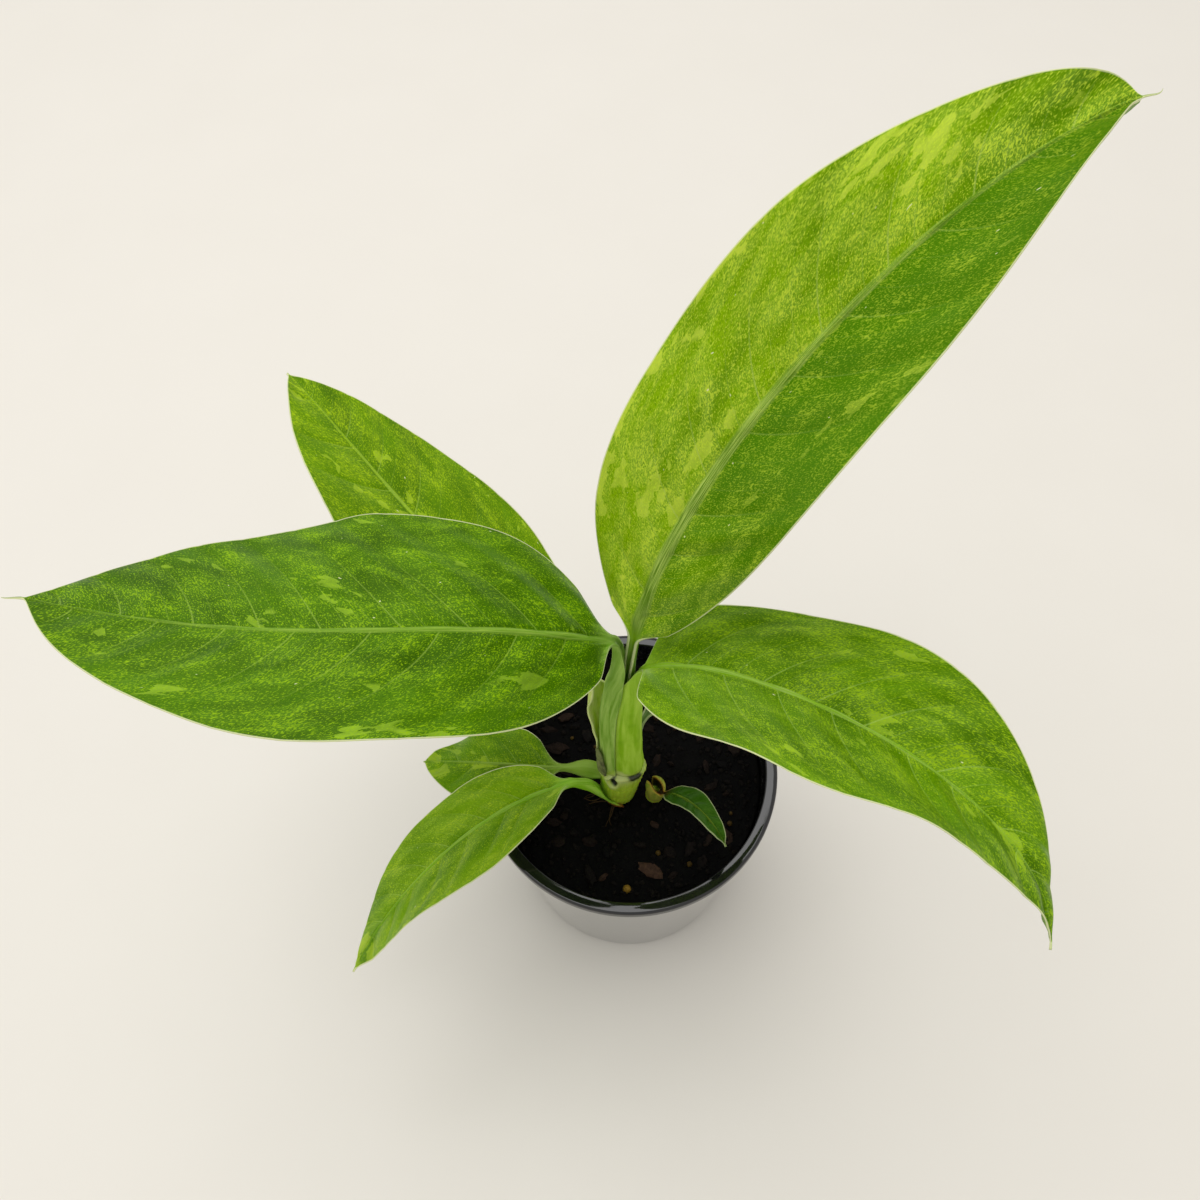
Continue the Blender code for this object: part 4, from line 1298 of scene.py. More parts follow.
def joint_layers(node):
    """The joint's pale ring, scar, bruise and pore, as masks and colours. The pore's near-black is
    painted shade in its pit.
    """
    marks = node("ShaderNodeAttribute", attribute_name="joint_marks", out="Vector")
    pore, scar, bruise = node("ShaderNodeSeparateXYZ", [marks]).node.outputs
    skin = node("ShaderNodeAttribute", attribute_name="joint_skin", out="Vector")
    pale = node("ShaderNodeSeparateXYZ", [skin], out=1)
    return (
        (pale, "#c3cf84"),
        (node("ShaderNodeMapRange", [scar, 0.1, 0.8]), "#a5662c"),
        (node("ShaderNodeMapRange", [bruise, 0, 0.7, 0, 0.95]), "#141a06"),
        # Near-black: painted shade in the pore's pit
        (node("ShaderNodeMapRange", [pore, 0.3, 0.7]), "#0e1405"),
    )


def cane_mesh():
    """The cane, with its joints, a pore under the collar and the scar of a dropped leaf."""
    foot = CANE_PROFILE[0][1]
    top = CANE_PROFILE[-1][1]
    coarse = np.arange(foot, CANE_FINE_FROM, 2.0)
    heights = np.concatenate([coarse, np.arange(CANE_FINE_FROM, top, 0.35), [top]])
    wide, height, around = turned_grid(CANE_PROFILE, heights, CANE_SEGMENTS)
    on_show = ramp(height, CANE_SHOWN_FROM) * (1.0 - ramp(height, CANE_SHOWN_TO))
    ribs = np.sin(CANE_RIBS * around + 2 * np.sin(height / 5))
    wide = wide + on_show * CANE_RIB_HEIGHT * ribs
    for joint in CANE_JOINTS:
        for rise, drop, spread in JOINT_RINGS:
            wide = wide + rise * np.exp(-(((height - joint + drop) / spread) ** 2))
    marks = joint_marks(turned(wide, height, around, STEM_PLACE).reshape(-1, 3))
    swelling = RIM_HEIGHT * np.exp(-(((marks["rim"] - 0.8) / 0.4) ** 2))
    swelling = swelling - PORE_DEPTH * np.exp(-(marks["pore"] ** 4))
    swelling = swelling + SCAR_HEIGHT * np.exp(-(marks["scar"] ** 2))
    points = turned(wide + swelling.reshape(wide.shape), height, around, STEM_PLACE)
    points[..., 0] += CANE_SHIFT * ramp(height, CANE_SHIFT_SPAN)
    points = points.reshape(-1, 3)
    mesh = mesh_from("cane", flattened(points), lidded(len(heights), CANE_SEGMENTS))
    store_marks(mesh, points)
    store(mesh, "cane_place", height, around * CANE_ROUNDING, 0 * height)
    return mesh


def peg_mesh():
    """The offshoot's short stem."""
    levels = [level for _, level in PEG_PROFILE]
    heights = np.unique(np.round(np.concatenate([levels, np.arange(79.0, 85.0, 0.4)]), 3))
    radius, height, around = turned_grid(PEG_PROFILE, heights, PEG_SEGMENTS)
    points = turned(radius, height, around, OFFSHOOT_PLACE)
    mesh = mesh_from("offshoot_stem", points, lidded(len(heights), PEG_SEGMENTS))
    store(mesh, "cane_place", height, PEG_ROUNDING * around, 0 * height)
    for name in ("joint_marks", "joint_skin"):
        store(mesh, name, *np.zeros((3, height.size)))
    return mesh


def cane_skin(settings):
    """Green stem skin, grown: smooth and waxy, paler at the joint under the leaves."""
    noise_table = (
        ("streaks", (14, 0.8, 1), 3.0, 0.6, 0.2, 0.0),
        ("blotch", (5, 5, 1), 3.0, 0.6, 0.3, 20.0),
        ("cells", (0.5, 0.4, 1), 2.0, 0.6, 0.0, 40.0),
    )
    name = "living_green_stem_skin"
    made, shader, node, place, noises = textured_material(name, "cane_place", noise_table)
    height = node("ShaderNodeSeparateXYZ", [place])
    layers = (
        (node("ShaderNodeMapRange", [noises["streaks"], 0.35, 0.7]), settings.streak),
        (node("ShaderNodeMapRange", [noises["blotch"], 0.45, 0.7, 0, 0.45]), "#7c9a10"),
        (node("ShaderNodeMapRange", [height, 98.5, 102.0, 0, 0.35]), settings.joint),
        (node("ShaderNodeMapRange", [height, 84.0, 79.5, 0, 0.6]), "#8f8c2a"),
        *joint_layers(node),
    )
    rough = node("ShaderNodeMapRange", [noises["blotch"], 0, 1, 0.34, 0.52])
    colour = painted(node, settings.skin, layers)
    values = {"Subsurface Weight": 0.1, "Subsurface Scale": 1.0 * MM}
    dress(shader, node, colour, rough, (noises["cells"], 0.1, 0.4), values)
    return made


def dry_tissue():
    """Withered sheath, dried on the plant: papery and dull, with its fibres standing out."""
    noise_table = (
        ("fibres", (9, 0.35, 1), 3.0, 0.6, 0.1, 0.0),
        ("blotch", (4, 3, 1), 3.0, 0.6, 0.3, 9.0),
    )
    name = "withered_sheath_tissue"
    made, shader, node, _, noises = textured_material(name, "vein_place", noise_table)
    layers = (
        (node("ShaderNodeMapRange", [noises["fibres"], 0.38, 0.68]), "#83864f"),
        (node("ShaderNodeMapRange", [noises["blotch"], 0.5, 0.62]), "#474c24"),
    )
    colour = painted(node, "#616e36", layers)
    dress(shader, node, colour, 0.68, (noises["fibres"], 0.2, 0.6), {})
    return made


def dry_sheath_mesh():
    """The withered sheath, a thin curved scale against the stem, its surface crinkled."""
    heading, side = level_ways(radians(DRY_SHEATH_HEADING))
    levels = filled_sheath(DRY_SHEATH, 0.5)
    path = stem_axis(levels[:, 0], STEM_PLACE) + heading * levels[:, 1:2]
    across = np.linspace(-1.0, 1.0, 25)
    top, low, reach, _ = crescents(levels, across)
    right, upper = frames_along(directions(path), side + 0 * path, np.zeros(len(path)))
    sections = np.stack([top, low])
    crinkle = np.sin(17 * across)[None, :] * np.sin(levels[:, :1] / 2.1)
    sections[..., 1] += CRINKLE_HEIGHT * crinkle
    points = flattened(placed(sections, path, right, upper).reshape(-1, 3))
    mesh = mesh_from("dry_sheath", points, shell_faces(len(path), len(across)))
    beside = np.tile((np.sign(across)[None, :] * reach).ravel(), 2)
    store(mesh, "vein_place", points[:, 2], beside, 0 * beside)
    return mesh


class StemSettings(PropertyGroup):
    """Colours of the cane."""

    skin: FloatVectorProperty(
        name="Skin",
        description="Green of the cane's skin",
        default=srgb("#94b418"),
        **COLOUR,
    )
    streak: FloatVectorProperty(
        name="Streaks",
        description="Paler streaks along the cane",
        default=srgb("#b0cc3c"),
        **COLOUR,
    )
    joint: FloatVectorProperty(
        name="Joint",
        description="Pale green of the joint where the sheaths part from the cane",
        default=srgb("#b9c476"),
        **COLOUR,
    )


class MakeStem(Operator):
    """Make the cane, the offshoot's short stem and the withered sheath"""

    bl_idname = "dieffenbachia.make_stem"
    bl_label = "Make Stem"

    def execute(self, context):
        """Make the three pieces in place of their solids."""
        skin = cane_skin(context.scene.dieffenbachia_stem)
        finish_piece("cane_grown", cane_mesh(), skin, "green_stem", "cane")
        finish_piece("offshoot_stem_grown", peg_mesh(), skin, "green_stem", "offshoot_stem")
        finish_piece("dry_sheath_grown", dry_sheath_mesh(), dry_tissue(), "dry_sheath", "dry_sheath")
        return {"FINISHED"}


# Potting mix


def pot_wall_radius(height):
    """Radius of the pot's outer wall at a height."""
    return mix(POT_BASE_RADIUS, POT_MOUTH_RADIUS, height / POT_HEIGHT)


def soil_wall_radius(height):
    """Radius of the potting mix at a height, just inside the pot."""
    return pot_wall_radius(height) - POT_WALL - SOIL_GAP


def mix_height(x, y, lumps=0.0):
    """Height of the potting mix, level round the stem and at the wall, with lumps of peat."""
    from_stem = Vector((x - STEM_PLACE[0], y - STEM_PLACE[1])).length
    from_offshoot = Vector((x - OFFSHOOT_PLACE[0], y - OFFSHOOT_PLACE[1])).length
    from_wall = soil_wall_radius(SOIL_HEIGHT) - Vector((x, y)).length
    share = ramp(from_stem, (9.0, 15.0)) * ramp(from_offshoot, (5.0, 9.0)) * ramp(from_wall, (0.0, 5.0))
    place = Vector((x, y, 0.0)) / SOIL_RELIEF_SPAN
    rise = noise.noise(place) + 0.6 * noise.noise(place * 2.6)
    height = SOIL_HEIGHT + float(share) * SOIL_RELIEF * rise
    if lumps:
        near = float(ramp(from_wall, (0.0, 2.0)))
        broad, narrow = LUMP_SPANS
        coarse = noise.noise(Vector((x / broad, y / broad, 3.0)))
        fine = noise.noise(Vector((x / narrow, y / narrow, 7.0)))
        height += lumps * near * (abs(coarse) * 1.3 - 0.35 + 0.35 * fine)
    return height


def mix_body(settings):
    """The body of the mix: a tapered plug with a crumbly top."""
    floor = POT_FLOOR + SOIL_GAP
    ring = np.minimum(np.arange(1, MIX_RINGS + 2), MIX_RINGS)[:, None]
    angle = tau * (np.arange(MIX_SEGMENTS)[None, :] + 0.5 * (ring % 2)) / MIX_SEGMENTS
    radius = soil_wall_radius(SOIL_HEIGHT) * ring / MIX_RINGS
    radius[-1] = soil_wall_radius(floor) - 1.0
    points = np.concatenate([[(0.0, 0.0, 0.0)], turned(radius, floor, angle).reshape(-1, 3)])
    foot = len(points) - MIX_SEGMENTS
    for point in points[:foot]:
        point[2] = mix_height(point[0], point[1], settings.lumps)
    faces = [(0, 1 + k, 1 + (k + 1) % MIX_SEGMENTS) for k in range(MIX_SEGMENTS)]
    faces += [(a, d, c, b) for a, b, c, d in bands(MIX_RINGS + 1, MIX_SEGMENTS, 1)]
    faces.append(tuple(reversed(range(foot, len(points)))))
    return mesh_from("mix_body", points, faces)


def lump_shapes(name, count, rng, size, rough, rounds):
    """Small ragged lumps, as hidden shapes to be laid many times."""
    shapes = []
    for k in range(count):
        form = bmesh.new()
        bmesh.ops.create_icosphere(form, subdivisions=rounds, radius=0.5)
        for corner in form.verts:
            corner.co *= 1.0 + rng.uniform(-rough, rough)
            corner.co = [value * scale for value, scale in zip(corner.co, size)]
        shapes.append(mesh_of(f"{name}_{k}", form))
    return shapes


def growing_tree(name, inputs):
    """A Geometry Nodes tree with named inputs: itself, what adds its nodes, and its inputs."""
    tree = bpy.data.node_groups.new(name, "GeometryNodeTree")
    for title, kind in {"Geometry": "Geometry", "Finish": "Material", **inputs}.items():
        tree.interface.new_socket(title, in_out="INPUT", socket_type=f"NodeSocket{kind}")
    tree.interface.new_socket("Geometry", in_out="OUTPUT", socket_type="NodeSocketGeometry")
    node = partial(add_node, tree)
    return tree, node, node("NodeGroupInput").node.outputs


def end_tree(node, made, finish):
    """Make real what a tree has made, and give it its finish."""
    made = node("GeometryNodeRealizeInstances", [made])
    made = node("GeometryNodeSetMaterial", {"Geometry": made, "Material": finish})
    node("NodeGroupOutput", [made], out=slice(0))


def laid_shapes(node, shapes, points, which, turn, size):
    """One of several shapes at each point: which one, its turn and its size."""
    values = {"Collection": shapes, "Separate Children": True, "Reset Children": True}
    values = {"Instance": node("GeometryNodeCollectionInfo", values), "Pick Instance": True}
    values |= {"Points": points, "Instance Index": which, "Scale": size}
    values |= {"Rotation": node("FunctionNodeEulerToRotation", [turn])}
    return node("GeometryNodeInstanceOnPoints", values)


def laying_tree():
    """A tree that lays one of several shapes at each point, turned and sized as the point says."""
    tree, node, socket = growing_tree("Lay Shapes", {"Shapes": "Collection"})
    said = []
    for name, kind in (("shape", "INT"), ("turn", "FLOAT_VECTOR"), ("size", "FLOAT_VECTOR")):
        said.append(node("GeometryNodeInputNamedAttribute", {"Name": name}, data_type=kind))
    laid = laid_shapes(node, socket["Shapes"], socket["Geometry"], *said)
    end_tree(node, laid, socket["Finish"])
    return tree


def crumb_tree():
    """A tree that strews one of several shapes over a surface, in random sizes and turns."""
    inputs = {"Shapes": "Collection", "Density": "Float", "Seed": "Int"}
    inputs |= {"Smallest": "Float", "Largest": "Float"}
    tree, node, socket = growing_tree("Strew Crumbs", inputs)
    values = {"Mesh": socket["Geometry"], "Density": socket["Density"], "Seed": socket["Seed"]}
    points = node("GeometryNodeDistributePointsOnFaces", values, distribute_method="RANDOM")
    drawn = []
    for kind, out, values in (
        ("INT", 2, {4: 0, 5: 50}),
        ("FLOAT_VECTOR", 0, {0: (0.0, 0.0, 0.0), 1: (tau, tau, tau)}),
        ("FLOAT", 1, {2: socket["Smallest"], 3: socket["Largest"]}),
        ("FLOAT", 1, {2: 0.0, 3: 1.0}),
    ):
        values |= {"Seed": socket["Seed"]}
        drawn.append(node("FunctionNodeRandomValue", values, out=out, data_type=kind))
    laid = laid_shapes(node, socket["Shapes"], points, *drawn[:3])
    values = {"Geometry": laid, "Name": "tint", "Value": drawn[3]}
    laid = node("GeometryNodeStoreNamedAttribute", values, data_type="FLOAT", domain="INSTANCE")
    end_tree(node, laid, socket["Finish"])
    return tree


def root_tree():
    """A tree that turns thin lines into round roots that thin out along their length."""
    tree, node, socket = growing_tree("Grow Roots", {"Radius": "Float"})
    run = node("GeometryNodeSplineParameter")
    thin = node("ShaderNodeMath", [run, -0.75, 1.0], operation="MULTIPLY_ADD")
    section = node("GeometryNodeCurvePrimitiveCircle", {"Resolution": 8, "Radius": socket["Radius"]})
    values = {"Curve": node("GeometryNodeMeshToCurve", [socket["Geometry"]]), "Scale": thin}
    values |= {"Profile Curve": section, "Fill Caps": True}
    end_tree(node, node("GeometryNodeCurveToMesh", values), socket["Finish"])
    return tree


def root_lines():
    """Lines over the mix where thin roots show, most of them by the cane's foot."""
    draw = random.Random(MIX_SEED)
    points = []
    edges = []
    for _ in range(ROOT_COUNT):
        heading = radians(draw.uniform(*ROOT_HEADINGS))
        x = STEM_PLACE[0] + ROOT_START * cos(heading)
        y = STEM_PLACE[1] + ROOT_START * sin(heading)
        for k in range(ROOT_POINTS):
            arch = ROOT_ARCH * sin(pi * (k + 1) / ROOT_POINTS)
            points.append((x, y, mix_height(x, y) + arch - 0.1))
            if k:
                edges.append((len(points) - 2, len(points) - 1))
            heading += radians(draw.uniform(-ROOT_WANDER, ROOT_WANDER))
            x += ROOT_STEP * cos(heading)
            y += ROOT_STEP * sin(heading)
    mesh = bpy.data.meshes.new("root_lines")
    mesh.from_pydata([Vector(point) * MM for point in points], edges, [])
    return mesh


def grown_by(tree, mesh, inputs):
    """The plain mesh that a tree makes of a mesh, with its inputs set by name."""
    maker = linked("maker", mesh)
    step = maker.modifiers.new("maker", "NODES")
    step.node_group = tree
    for item in tree.interface.items_tree:
        if item.in_out == "INPUT" and item.name in inputs:
            step[item.identifier] = inputs[item.name]
    return applied(maker)


def lay_piece(name, tree, mesh, inputs, shapes):
    """Make one piece of the shapes that a tree lays on a mesh, and remove the hidden shapes."""
    group = bpy.data.collections.new(f"{name}_shapes")
    for shape in shapes:
        group.objects.link(bpy.data.objects.new(shape.name, shape))
    made = grown_by(tree, mesh, inputs | {"Shapes": group})
    finish_piece(name, made, None, "potting_mix")
    for shape in list(group.objects):
        bpy.data.objects.remove(shape, do_unlink=True)
    bpy.data.collections.remove(group)
    return made


def free_place(draw, taken, clearance):
    """A spot on the mix that keeps clear of the stem, the wall and what lies there."""
    while True:
        angle = draw.uniform(0, tau)
        radius = LAID_REACH * draw.random() ** 0.5
        place = Vector((radius * cos(angle), radius * sin(angle)))
        if (place - Vector(STEM_PLACE)).length < STEM_CLEARANCE:
            continue
        if (place - Vector(OFFSHOOT_PLACE)).length < OFFSHOOT_CLEARANCE:
            continue
        if all((place - other).length > clearance for other in taken):
            taken.append(place)
            return (place.x, place.y)


def laid_points(name, rows, kinds):
    """A mesh of loose points, each with the turn, size, shape and tint of what lies there."""
    rng = random.Random(name)
    places, sinks, turns, sizes, tints = zip(*rows)
    spots = [(*place, mix_height(*place) + sink) for place, sink in zip(places, sinks)]
    mesh = mesh_from(name, spots, [])
    store(mesh, "turn", *zip(*turns))
    store(mesh, "size", *(np.array(sizes, np.float32) * MM).T)
    store(mesh, "tint", tints, kind="FLOAT")
    store(mesh, "shape", [rng.randrange(kinds) for _ in rows], kind="INT")
    return mesh


def chip_rows():
    """Where the bark chips and the prills lie: place, sinking, turn, size and tint."""
    taken = [Vector(BROWN_CHIP_PLACE), Vector(YELLOW_PRILL_PLACE)]
    chips = [(BROWN_CHIP_PLACE, 0.2, (0.06, -0.05, radians(-28.0)), BROWN_CHIP_SIZE, 1.0)]
    draw = random.Random(MIX_SEED)
    for _ in range(CHIP_COUNT):
        length = draw.uniform(*CHIP_LENGTHS)
        width = length * draw.uniform(0.4, 0.75)
        place = free_place(draw, taken, CHIP_CLEARANCE)
        turn = (draw.uniform(-0.4, 0.4), draw.uniform(-0.4, 0.4), draw.uniform(0, tau))
        size = (length, width, draw.uniform(*CHIP_THICKNESSES))
        chips.append((place, 0.1, turn, size, 0.5 * draw.random() ** 4))
    prills = [(YELLOW_PRILL_PLACE, 0.6, (0, 0, 0), (PRILL_SIZE,) * 3, 1.0)]
    for _ in range(PRILL_COUNT):
        place = free_place(draw, taken, PRILL_CLEARANCE)
        size = PRILL_SIZE * draw.uniform(0.4, 0.7)
        prills.append((place, 0.3, (0, 0, 0), (size,) * 3, draw.uniform(0, 0.3)))
    return chips, prills


def mix_finish(name, dark, pale, rough, grain_mm):
    """A dull finish for a part of the mix, from dark to pale by each piece's tint."""
    noise_table = (
        ("grain", (grain_mm,) * 3, 4.0, 0.65, 0.3, 0.0),
        ("broad", (7, 7, 7), 2.0, 0.5, 0.0, 5.0),
    )
    made, shader, node, _, noises = textured_material(name, "", noise_table)
    tint = node("ShaderNodeAttribute", attribute_name="tint", out="Fac")
    grain = node("ShaderNodeMapRange", [noises["grain"], 0.3, 0.75, 0.35, 1])
    broad = node("ShaderNodeMapRange", [noises["broad"], 0.4, 0.7, 0, 0.2])
    shade = node("ShaderNodeMath", [tint, broad], operation="ADD")
    shade = node("ShaderNodeMath", [shade, grain], operation="MULTIPLY", use_clamp=True)
    colour = painted(node, dark, ((shade, pale),))
    relief = (noises["grain"], 0.35, 0.8)
    dress(shader, node, colour, rough, relief, {"Specular IOR Level": 0.1})
    return made


class MixSettings(PropertyGroup):
    """Sizes and colours of the potting mix."""

    lumps: FloatProperty(
        name="Lumps",
        description="Height in millimetres of the small lumps of peat",
        default=0.8,
        min=0.0,
        max=3.0,
    )
    crumb_density: FloatProperty(
        name="Crumb Density",
        description="Crumbs on each square metre of the mix",
        default=170000.0,
        min=0.0,
        max=500000.0,
    )
    peat: FloatVectorProperty(
        name="Peat",
        description="Near-black of damp peat",
        default=srgb("#030303"),
        **COLOUR,
    )
    bark: FloatVectorProperty(
        name="Bark",
        description="Brown of the driest bark chips",
        default=srgb("#4d382b"),
        **COLOUR,
    )
    prill: FloatVectorProperty(
        name="Prill",
        description="Yellow of the coated fertiliser prills",
        default=srgb("#9c7a2a"),
        **COLOUR,
    )


class MakeMix(Operator):
    """Make the potting mix with its bark chips, crumbs, prills and root wisps"""

    bl_idname = "dieffenbachia.make_mix"
    bl_label = "Make Potting Mix"

    def execute(self, context):
        """Make the body of the mix, and lay the rest on it."""
        settings = context.scene.dieffenbachia_mix
        peat = mix_finish("damp_peat", settings.peat, "#16120f", 0.85, 1.6)
        bark = mix_finish("composted_bark", "#050505", settings.bark, 0.75, 1.2)
        resin = mix_finish("coated_fertiliser", "#1c150c", settings.prill, 0.4, 1.0)
        fibre = mix_finish("fine_root_fibre", "#3a2c18", "#86683a", 0.7, 1.5)
        body = mix_body(settings)
        finish_piece("mix_body", body, peat, "potting_mix", "soil")

        chips, prills = chip_rows()
        rng = random.Random(MIX_SEED)
        laying = laying_tree()
        slabs = lump_shapes("chip", 6, rng, (1, 1, 1), 0.24, 2)
        laid = laid_points("chips", chips, len(slabs))
        lay_piece("bark_chips", laying, laid, {"Finish": bark}, slabs)
        balls = lump_shapes("prill", 2, rng, (1, 1, 1), 0.02, 2)
        laid = laid_points("prills", prills, len(balls))
        lay_piece("fertiliser_prills", laying, laid, {"Finish": resin}, balls).shade_smooth()

        lumps = lump_shapes("crumb", 5, rng, (1.2, 0.9, 0.8), 0.22, 1)
        form = bmesh.new()
        form.from_mesh(body)
        low = [face for face in form.faces if face.calc_center_median().z < CRUMB_FOOT * MM]
        bmesh.ops.delete(form, geom=low, context="FACES")
        smallest, largest = (size * MM for size in CRUMB_SIZES)
        inputs = {"Finish": peat, "Density": settings.crumb_density, "Seed": MIX_SEED}
        inputs |= {"Smallest": smallest, "Largest": largest}
        lay_piece("peat_crumbs", crumb_tree(), mesh_of("mix_top", form), inputs, lumps)

        inputs = {"Radius": ROOT_RADIUS * MM, "Finish": fibre}
        roots = grown_by(root_tree(), root_lines(), inputs)
        roots.shade_smooth()
        finish_piece("root_wisps", roots, None, "potting_mix")
        return {"FINISHED"}


# The pot


def pot_profile():
    """The pot's outline, up the outside, over the collar and down the inside."""
    points = [(0.0, 0.6), (POT_BASE_RADIUS - 4.0, 0.6), (POT_BASE_RADIUS - 3.4, 0.0)]
    points += [(POT_BASE_RADIUS - 0.6, 0.0), (POT_BASE_RADIUS - 0.15, 0.2), (POT_BASE_RADIUS, 0.7)]
    foot = POT_HEIGHT - COLLAR_DROP
    for height in np.linspace(1.5, POT_HEIGHT - POT_WALL, 30):
        points.append((pot_wall_radius(height), height))
    points.append((COLLAR_RADIUS - POT_WALL, POT_HEIGHT - POT_WALL))
    points += [(COLLAR_RADIUS - POT_WALL, foot + 0.1), (COLLAR_RADIUS - 0.9, foot)]
    points += [(COLLAR_RADIUS - 0.15, foot), (COLLAR_RADIUS, foot + 0.15)]
    inner = pot_wall_radius(POT_HEIGHT) - POT_WALL
    for middle, bend, angles in (
        (COLLAR_RADIUS - 1.1, 1.1, range(0, 91, 15)),
        (inner + 0.55, 0.55, range(90, 181, 30)),
    ):
        for angle in angles:
            x = middle + bend * cos(radians(angle))
            points.append((x, POT_HEIGHT - bend + bend * sin(radians(angle))))
    for height in np.linspace(85.0, 3.0, 12):
        points.append((pot_wall_radius(height) - POT_WALL, height))
    points += [(POT_BASE_RADIUS - 2.2, POT_FLOOR), (0.0, POT_FLOOR)]
    return np.array(points)


def pot_mesh():
    """The turned pot, closed at the middle of its floor, with its drainage holes cut."""
    profile = pot_profile()
    rows = len(profile) - 2
    angle = tau * np.arange(POT_SEGMENTS)[None, :] / POT_SEGMENTS
    wall = turned(profile[1:-1, :1], profile[1:-1, 1:], angle).reshape(-1, 3)
    middles = [[(0.0, 0.0, height)] for height in profile[[0, -1], 1]]
    last_row = 1 + (rows - 1) * POT_SEGMENTS
    last = last_row + POT_SEGMENTS
    faces = []
    for k in range(POT_SEGMENTS):
        after = (k + 1) % POT_SEGMENTS
        faces += [(0, 1 + after, 1 + k), (last, last_row + k, last_row + after)]
    faces += bands(rows, POT_SEGMENTS, 1)
    points = np.concatenate([middles[0], wall, middles[1]])
    pot = linked("pot_blank", mesh_from("pot", points, faces))

    form = bmesh.new()
    for k in range(DRAIN_HOLES):
        angle = tau * (k + 0.5) / DRAIN_HOLES
        ring = DRAIN_RING * MM
        place = Matrix.Translation((ring * cos(angle), ring * sin(angle), POT_FLOOR / 2 * MM))
        sizes = {"radius1": DRAIN_RADIUS * MM, "radius2": DRAIN_RADIUS * MM, "depth": CUT_DEPTH * MM}
        bmesh.ops.create_cone(form, cap_ends=True, segments=32, matrix=place, **sizes)
    cutter = linked("drain_cutters", mesh_of("drain_cutters", form))
    step = pot.modifiers.new("holes", "BOOLEAN")
    step.operation = "DIFFERENCE"
    step.object = cutter
    step.solver = "EXACT"
    made = applied(pot)
    bpy.data.objects.remove(cutter, do_unlink=True)
    made.shade_smooth()
    made.set_sharp_from_angle(angle=radians(35))
    return made


def pot_plastic(settings, name, level, coat, painted_reflection):
    """Black polypropylene, injection moulded: glossy, with faint flow marks and dust.

    Its gloss mirrors the floor where the wall is seen at a low angle.
    Pale grey streaks on the wall are painted reflection of the floor.
    """
    noise_table = (
        ("flow", (9, 9, 60), 2.0, 0.5, 0.3, 0.0),
        ("dust", (3, 3, 3), 4.0, 0.7, 0.0, 8.0),
        ("scuffs", (14, 14, 1.2), 3.0, 0.6, 0.5, 30.0),
        ("reflection_noise", (4, 4, 50), 3.0, 0.6, 0.6, 50.0),
    )
    made, shader, node, _, noises = textured_material(name, "", noise_table)
    dust = node("ShaderNodeMapRange", [noises["dust"], 0.55, 0.8, 0, 0.35])
    # Pale grey streaks on the wall: painted reflection of the floor
    reflection_streak = node("ShaderNodeMapRange", [noises["reflection_noise"], 0.45, 0.75, 0, painted_reflection])
    rough = node("ShaderNodeMapRange", [noises["scuffs"], 0.4, 0.8, 0.05, 0.14])
    rough = node("ShaderNodeMath", [dust, 0.3, rough], operation="MULTIPLY_ADD")
    colour = painted(node, settings.plastic, ((dust, "#2e2e30"), (reflection_streak, "#6c6c6a")))
    values = {"IOR": 1.58, "Specular IOR Level": level}
    values |= {"Coat Weight": coat, "Coat IOR": 1.6, "Coat Roughness": 0.02}
    dress(shader, node, colour, rough, (noises["flow"], 0.2, 0.25), values)
    return made


class PotSettings(PropertyGroup):
    """Colour of the nursery pot."""

    plastic: FloatVectorProperty(
        name="Plastic",
        description="Colour of the moulded polypropylene",
        default=srgb("#0e0e10"),
        **COLOUR,
    )


class MakePot(Operator):
    """Make the thin-walled nursery pot"""

    bl_idname = "dieffenbachia.make_pot"
    bl_label = "Make Pot"

    def execute(self, context):
        """Make the pot in place of its solid, with a finish of its own on the collar."""
        settings = context.scene.dieffenbachia_pot
        mesh = pot_mesh()
        # The wall carries painted reflection streaks, the collar none
        wall = pot_plastic(settings, "moulded_black_polypropylene", 0.6, 1.0, 0.2)
        collar = pot_plastic(settings, "moulded_black_polypropylene_collar", 0.5, 0.0, 0.0)
        finish_piece("nursery_pot", mesh, wall, "pot_plastic", "pot")
        mesh.materials.append(collar)
        collar_foot = (POT_HEIGHT - COLLAR_DROP - 0.5) * MM
        for face in mesh.polygons:
            face.material_index = int(face.center.z > collar_foot)
        mesh.update()
        return {"FINISHED"}


# The stage


def matt_board(settings):
    """A plain matt board, its tone all but even."""
    noise_table = (("faint", (60, 60, 60), 3.0, 0.5, 0.0, 0.0),)
    made, shader, node, _, noises = textured_material("plain_matt_board", "", noise_table)
    faint = node("ShaderNodeMapRange", [noises["faint"], 0.3, 0.7, 0, 0.12])
    colour = painted(node, settings.floor, ((faint, "#dcd7ce"),))
    feed(shader, {"Base Color": colour, "Roughness": 0.6})
    return made


class StageSettings(PropertyGroup):
    """Floor, light and surroundings."""

    floor: FloatVectorProperty(
        name="Floor",
        description="Colour of the plain floor",
        default=srgb("#e6e2da"),
        **COLOUR,
    )
    key_power: FloatProperty(
        name="Key Light",
        description="Power of the soft light overhead",
        default=14.0,
        min=0.0,
        unit="POWER",
    )
    sky_strength: FloatProperty(
        name="Surroundings",
        description="Strength of the even light from all round",
        default=0.8,
        min=0.0,
    )


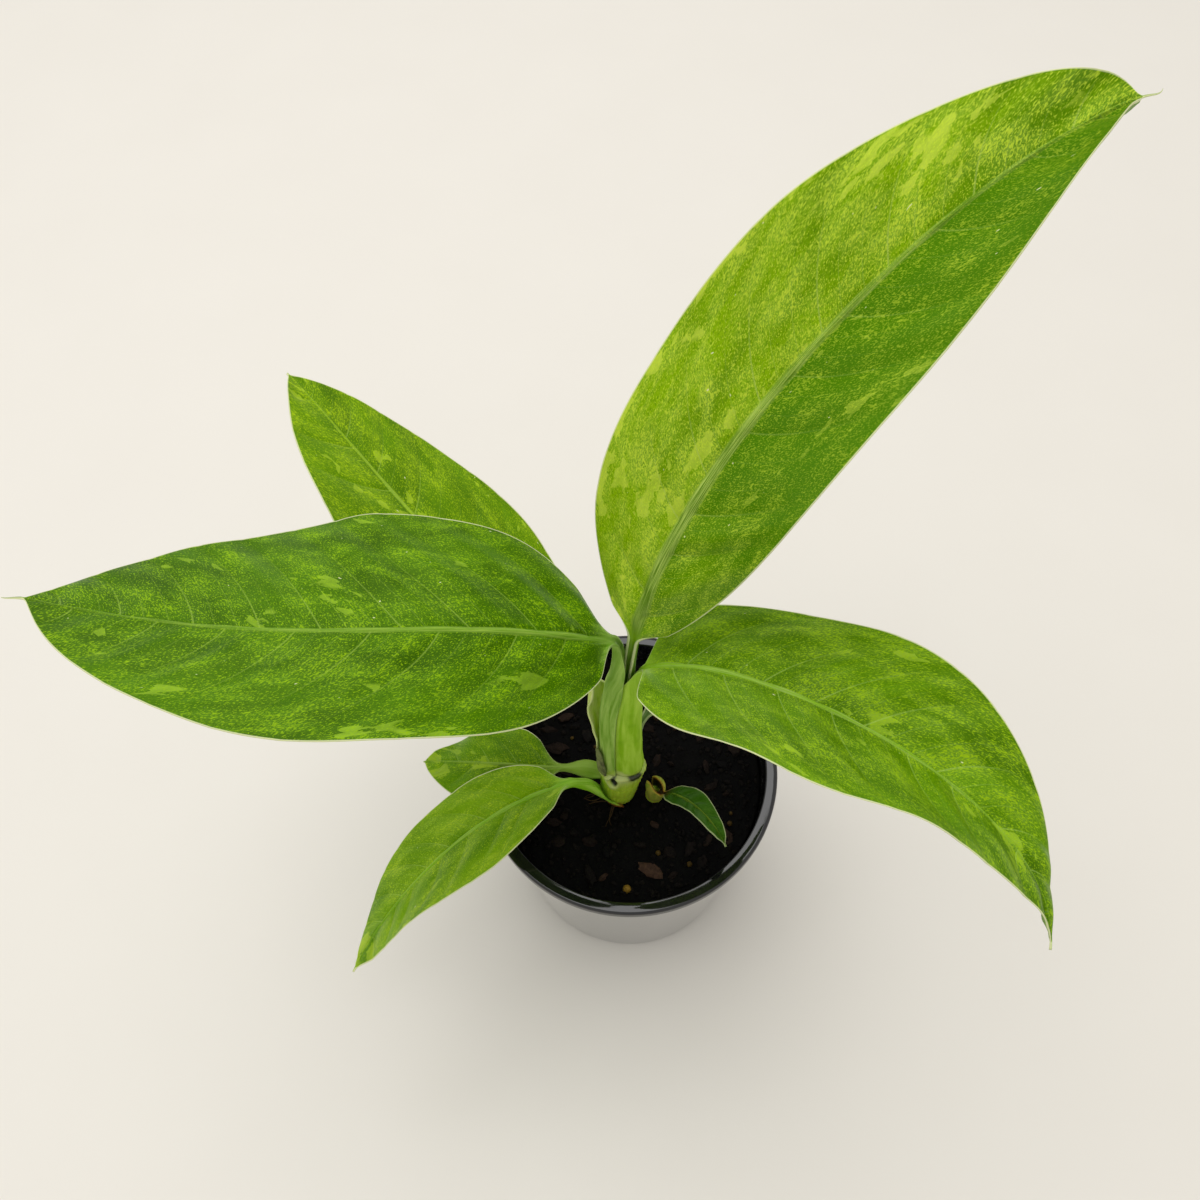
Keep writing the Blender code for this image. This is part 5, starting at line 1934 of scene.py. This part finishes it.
class MakeStage(Operator):
    """Make the plain floor, the soft light and the camera at the photograph's angle"""

    bl_idname = "dieffenbachia.make_stage"
    bl_label = "Make Stage"

    def execute(self, context):
        """Make the floor, the light, the surroundings and the camera."""
        settings = context.scene.dieffenbachia_stage
        scene = context.scene
        low, high = -FLOOR_REACH, FLOOR_REACH
        corners = [(x, y, -0.1) for x, y in ((low, low), (high, low), (high, high), (low, high))]
        floor = linked("floor", mesh_from("floor", corners, [(0, 1, 2, 3)]))
        floor.data.materials.append(matt_board(settings))

        key = bpy.data.lights.new("key", "AREA")
        key.shape = "DISK"
        key.size = LAMP_WIDTH
        key.energy = settings.key_power
        lamp = linked("key", key)
        lamp.location = LAMP_PLACE
        aim = Vector(LAMP_AIM) - lamp.location
        lamp.rotation_euler = aim.to_track_quat("-Z", "Y").to_euler()
        world = bpy.data.worlds.new("even_surroundings")
        world.use_nodes = True
        values = {"Color": "#f6f4f0", "Strength": settings.sky_strength}
        feed(world.node_tree.nodes["Background"], values)
        scene.world = world
        scene.view_settings.view_transform = "Standard"

        pitch = radians(CAMERA_PITCH)
        roll = radians(CAMERA_ROLL)
        forward = Vector((0.0, cos(pitch), -sin(pitch)))
        level = Vector((1.0, 0.0, 0.0))
        up = level.cross(forward)
        right = level * cos(roll) + up * sin(roll)
        over = up * cos(roll) - level * sin(roll)
        eye = bpy.data.cameras.new("camera")
        eye.lens = CAMERA_LENS
        eye.sensor_width = CAMERA_SENSOR
        camera = linked("camera", eye)
        facing = Matrix((right, over, -forward)).transposed().to_4x4()
        camera.matrix_world = Matrix.Translation(CAMERA_PLACE) @ facing
        scene.camera = camera
        return {"FINISHED"}


class DieffenbachiaPanel(Panel):
    """Sizes and colours of the plant, and the steps that make it"""

    bl_idname = "VIEW3D_PT_dieffenbachia"
    bl_label = "Potted Dieffenbachia"
    bl_space_type = "VIEW_3D"
    bl_region_type = "UI"
    bl_category = "Dieffenbachia"

    def draw(self, context):
        """Draw a box of settings and a button for each part."""
        for title, name, _, step in PARTS:
            box = self.layout.box()
            settings = getattr(context.scene, name)
            for field in settings.bl_rna.properties:
                if field.identifier not in ("rna_type", "name"):
                    box.prop(settings, field.identifier)
            box.operator(step.bl_idname, text=title)


PARTS = (
    ("Leaves", "dieffenbachia_leaves", LeafSettings, MakeLeaves),
    ("Stem", "dieffenbachia_stem", StemSettings, MakeStem),
    ("Potting Mix", "dieffenbachia_mix", MixSettings, MakeMix),
    ("Pot", "dieffenbachia_pot", PotSettings, MakePot),
    ("Stage", "dieffenbachia_stage", StageSettings, MakeStage),
)
CLASSES = (*(part[2] for part in PARTS), *(part[3] for part in PARTS), DieffenbachiaPanel)


def register():
    """Register the classes, and the settings on the scene."""
    for part in CLASSES:
        bpy.utils.register_class(part)
    for _, name, group, _ in PARTS:
        setattr(bpy.types.Scene, name, PointerProperty(type=group))


def unregister():
    """Take the settings off the scene and unregister the classes."""
    for _, name, _, _ in PARTS:
        delattr(bpy.types.Scene, name)
    for part in reversed(CLASSES):
        bpy.utils.unregister_class(part)


def main():
    """Make every piece and the stage."""
    register()
    bpy.ops.dieffenbachia.make_leaves()
    bpy.ops.dieffenbachia.make_stem()
    bpy.ops.dieffenbachia.make_mix()
    bpy.ops.dieffenbachia.make_pot()
    bpy.ops.dieffenbachia.make_stage()


if __name__ == "__main__":
    main()
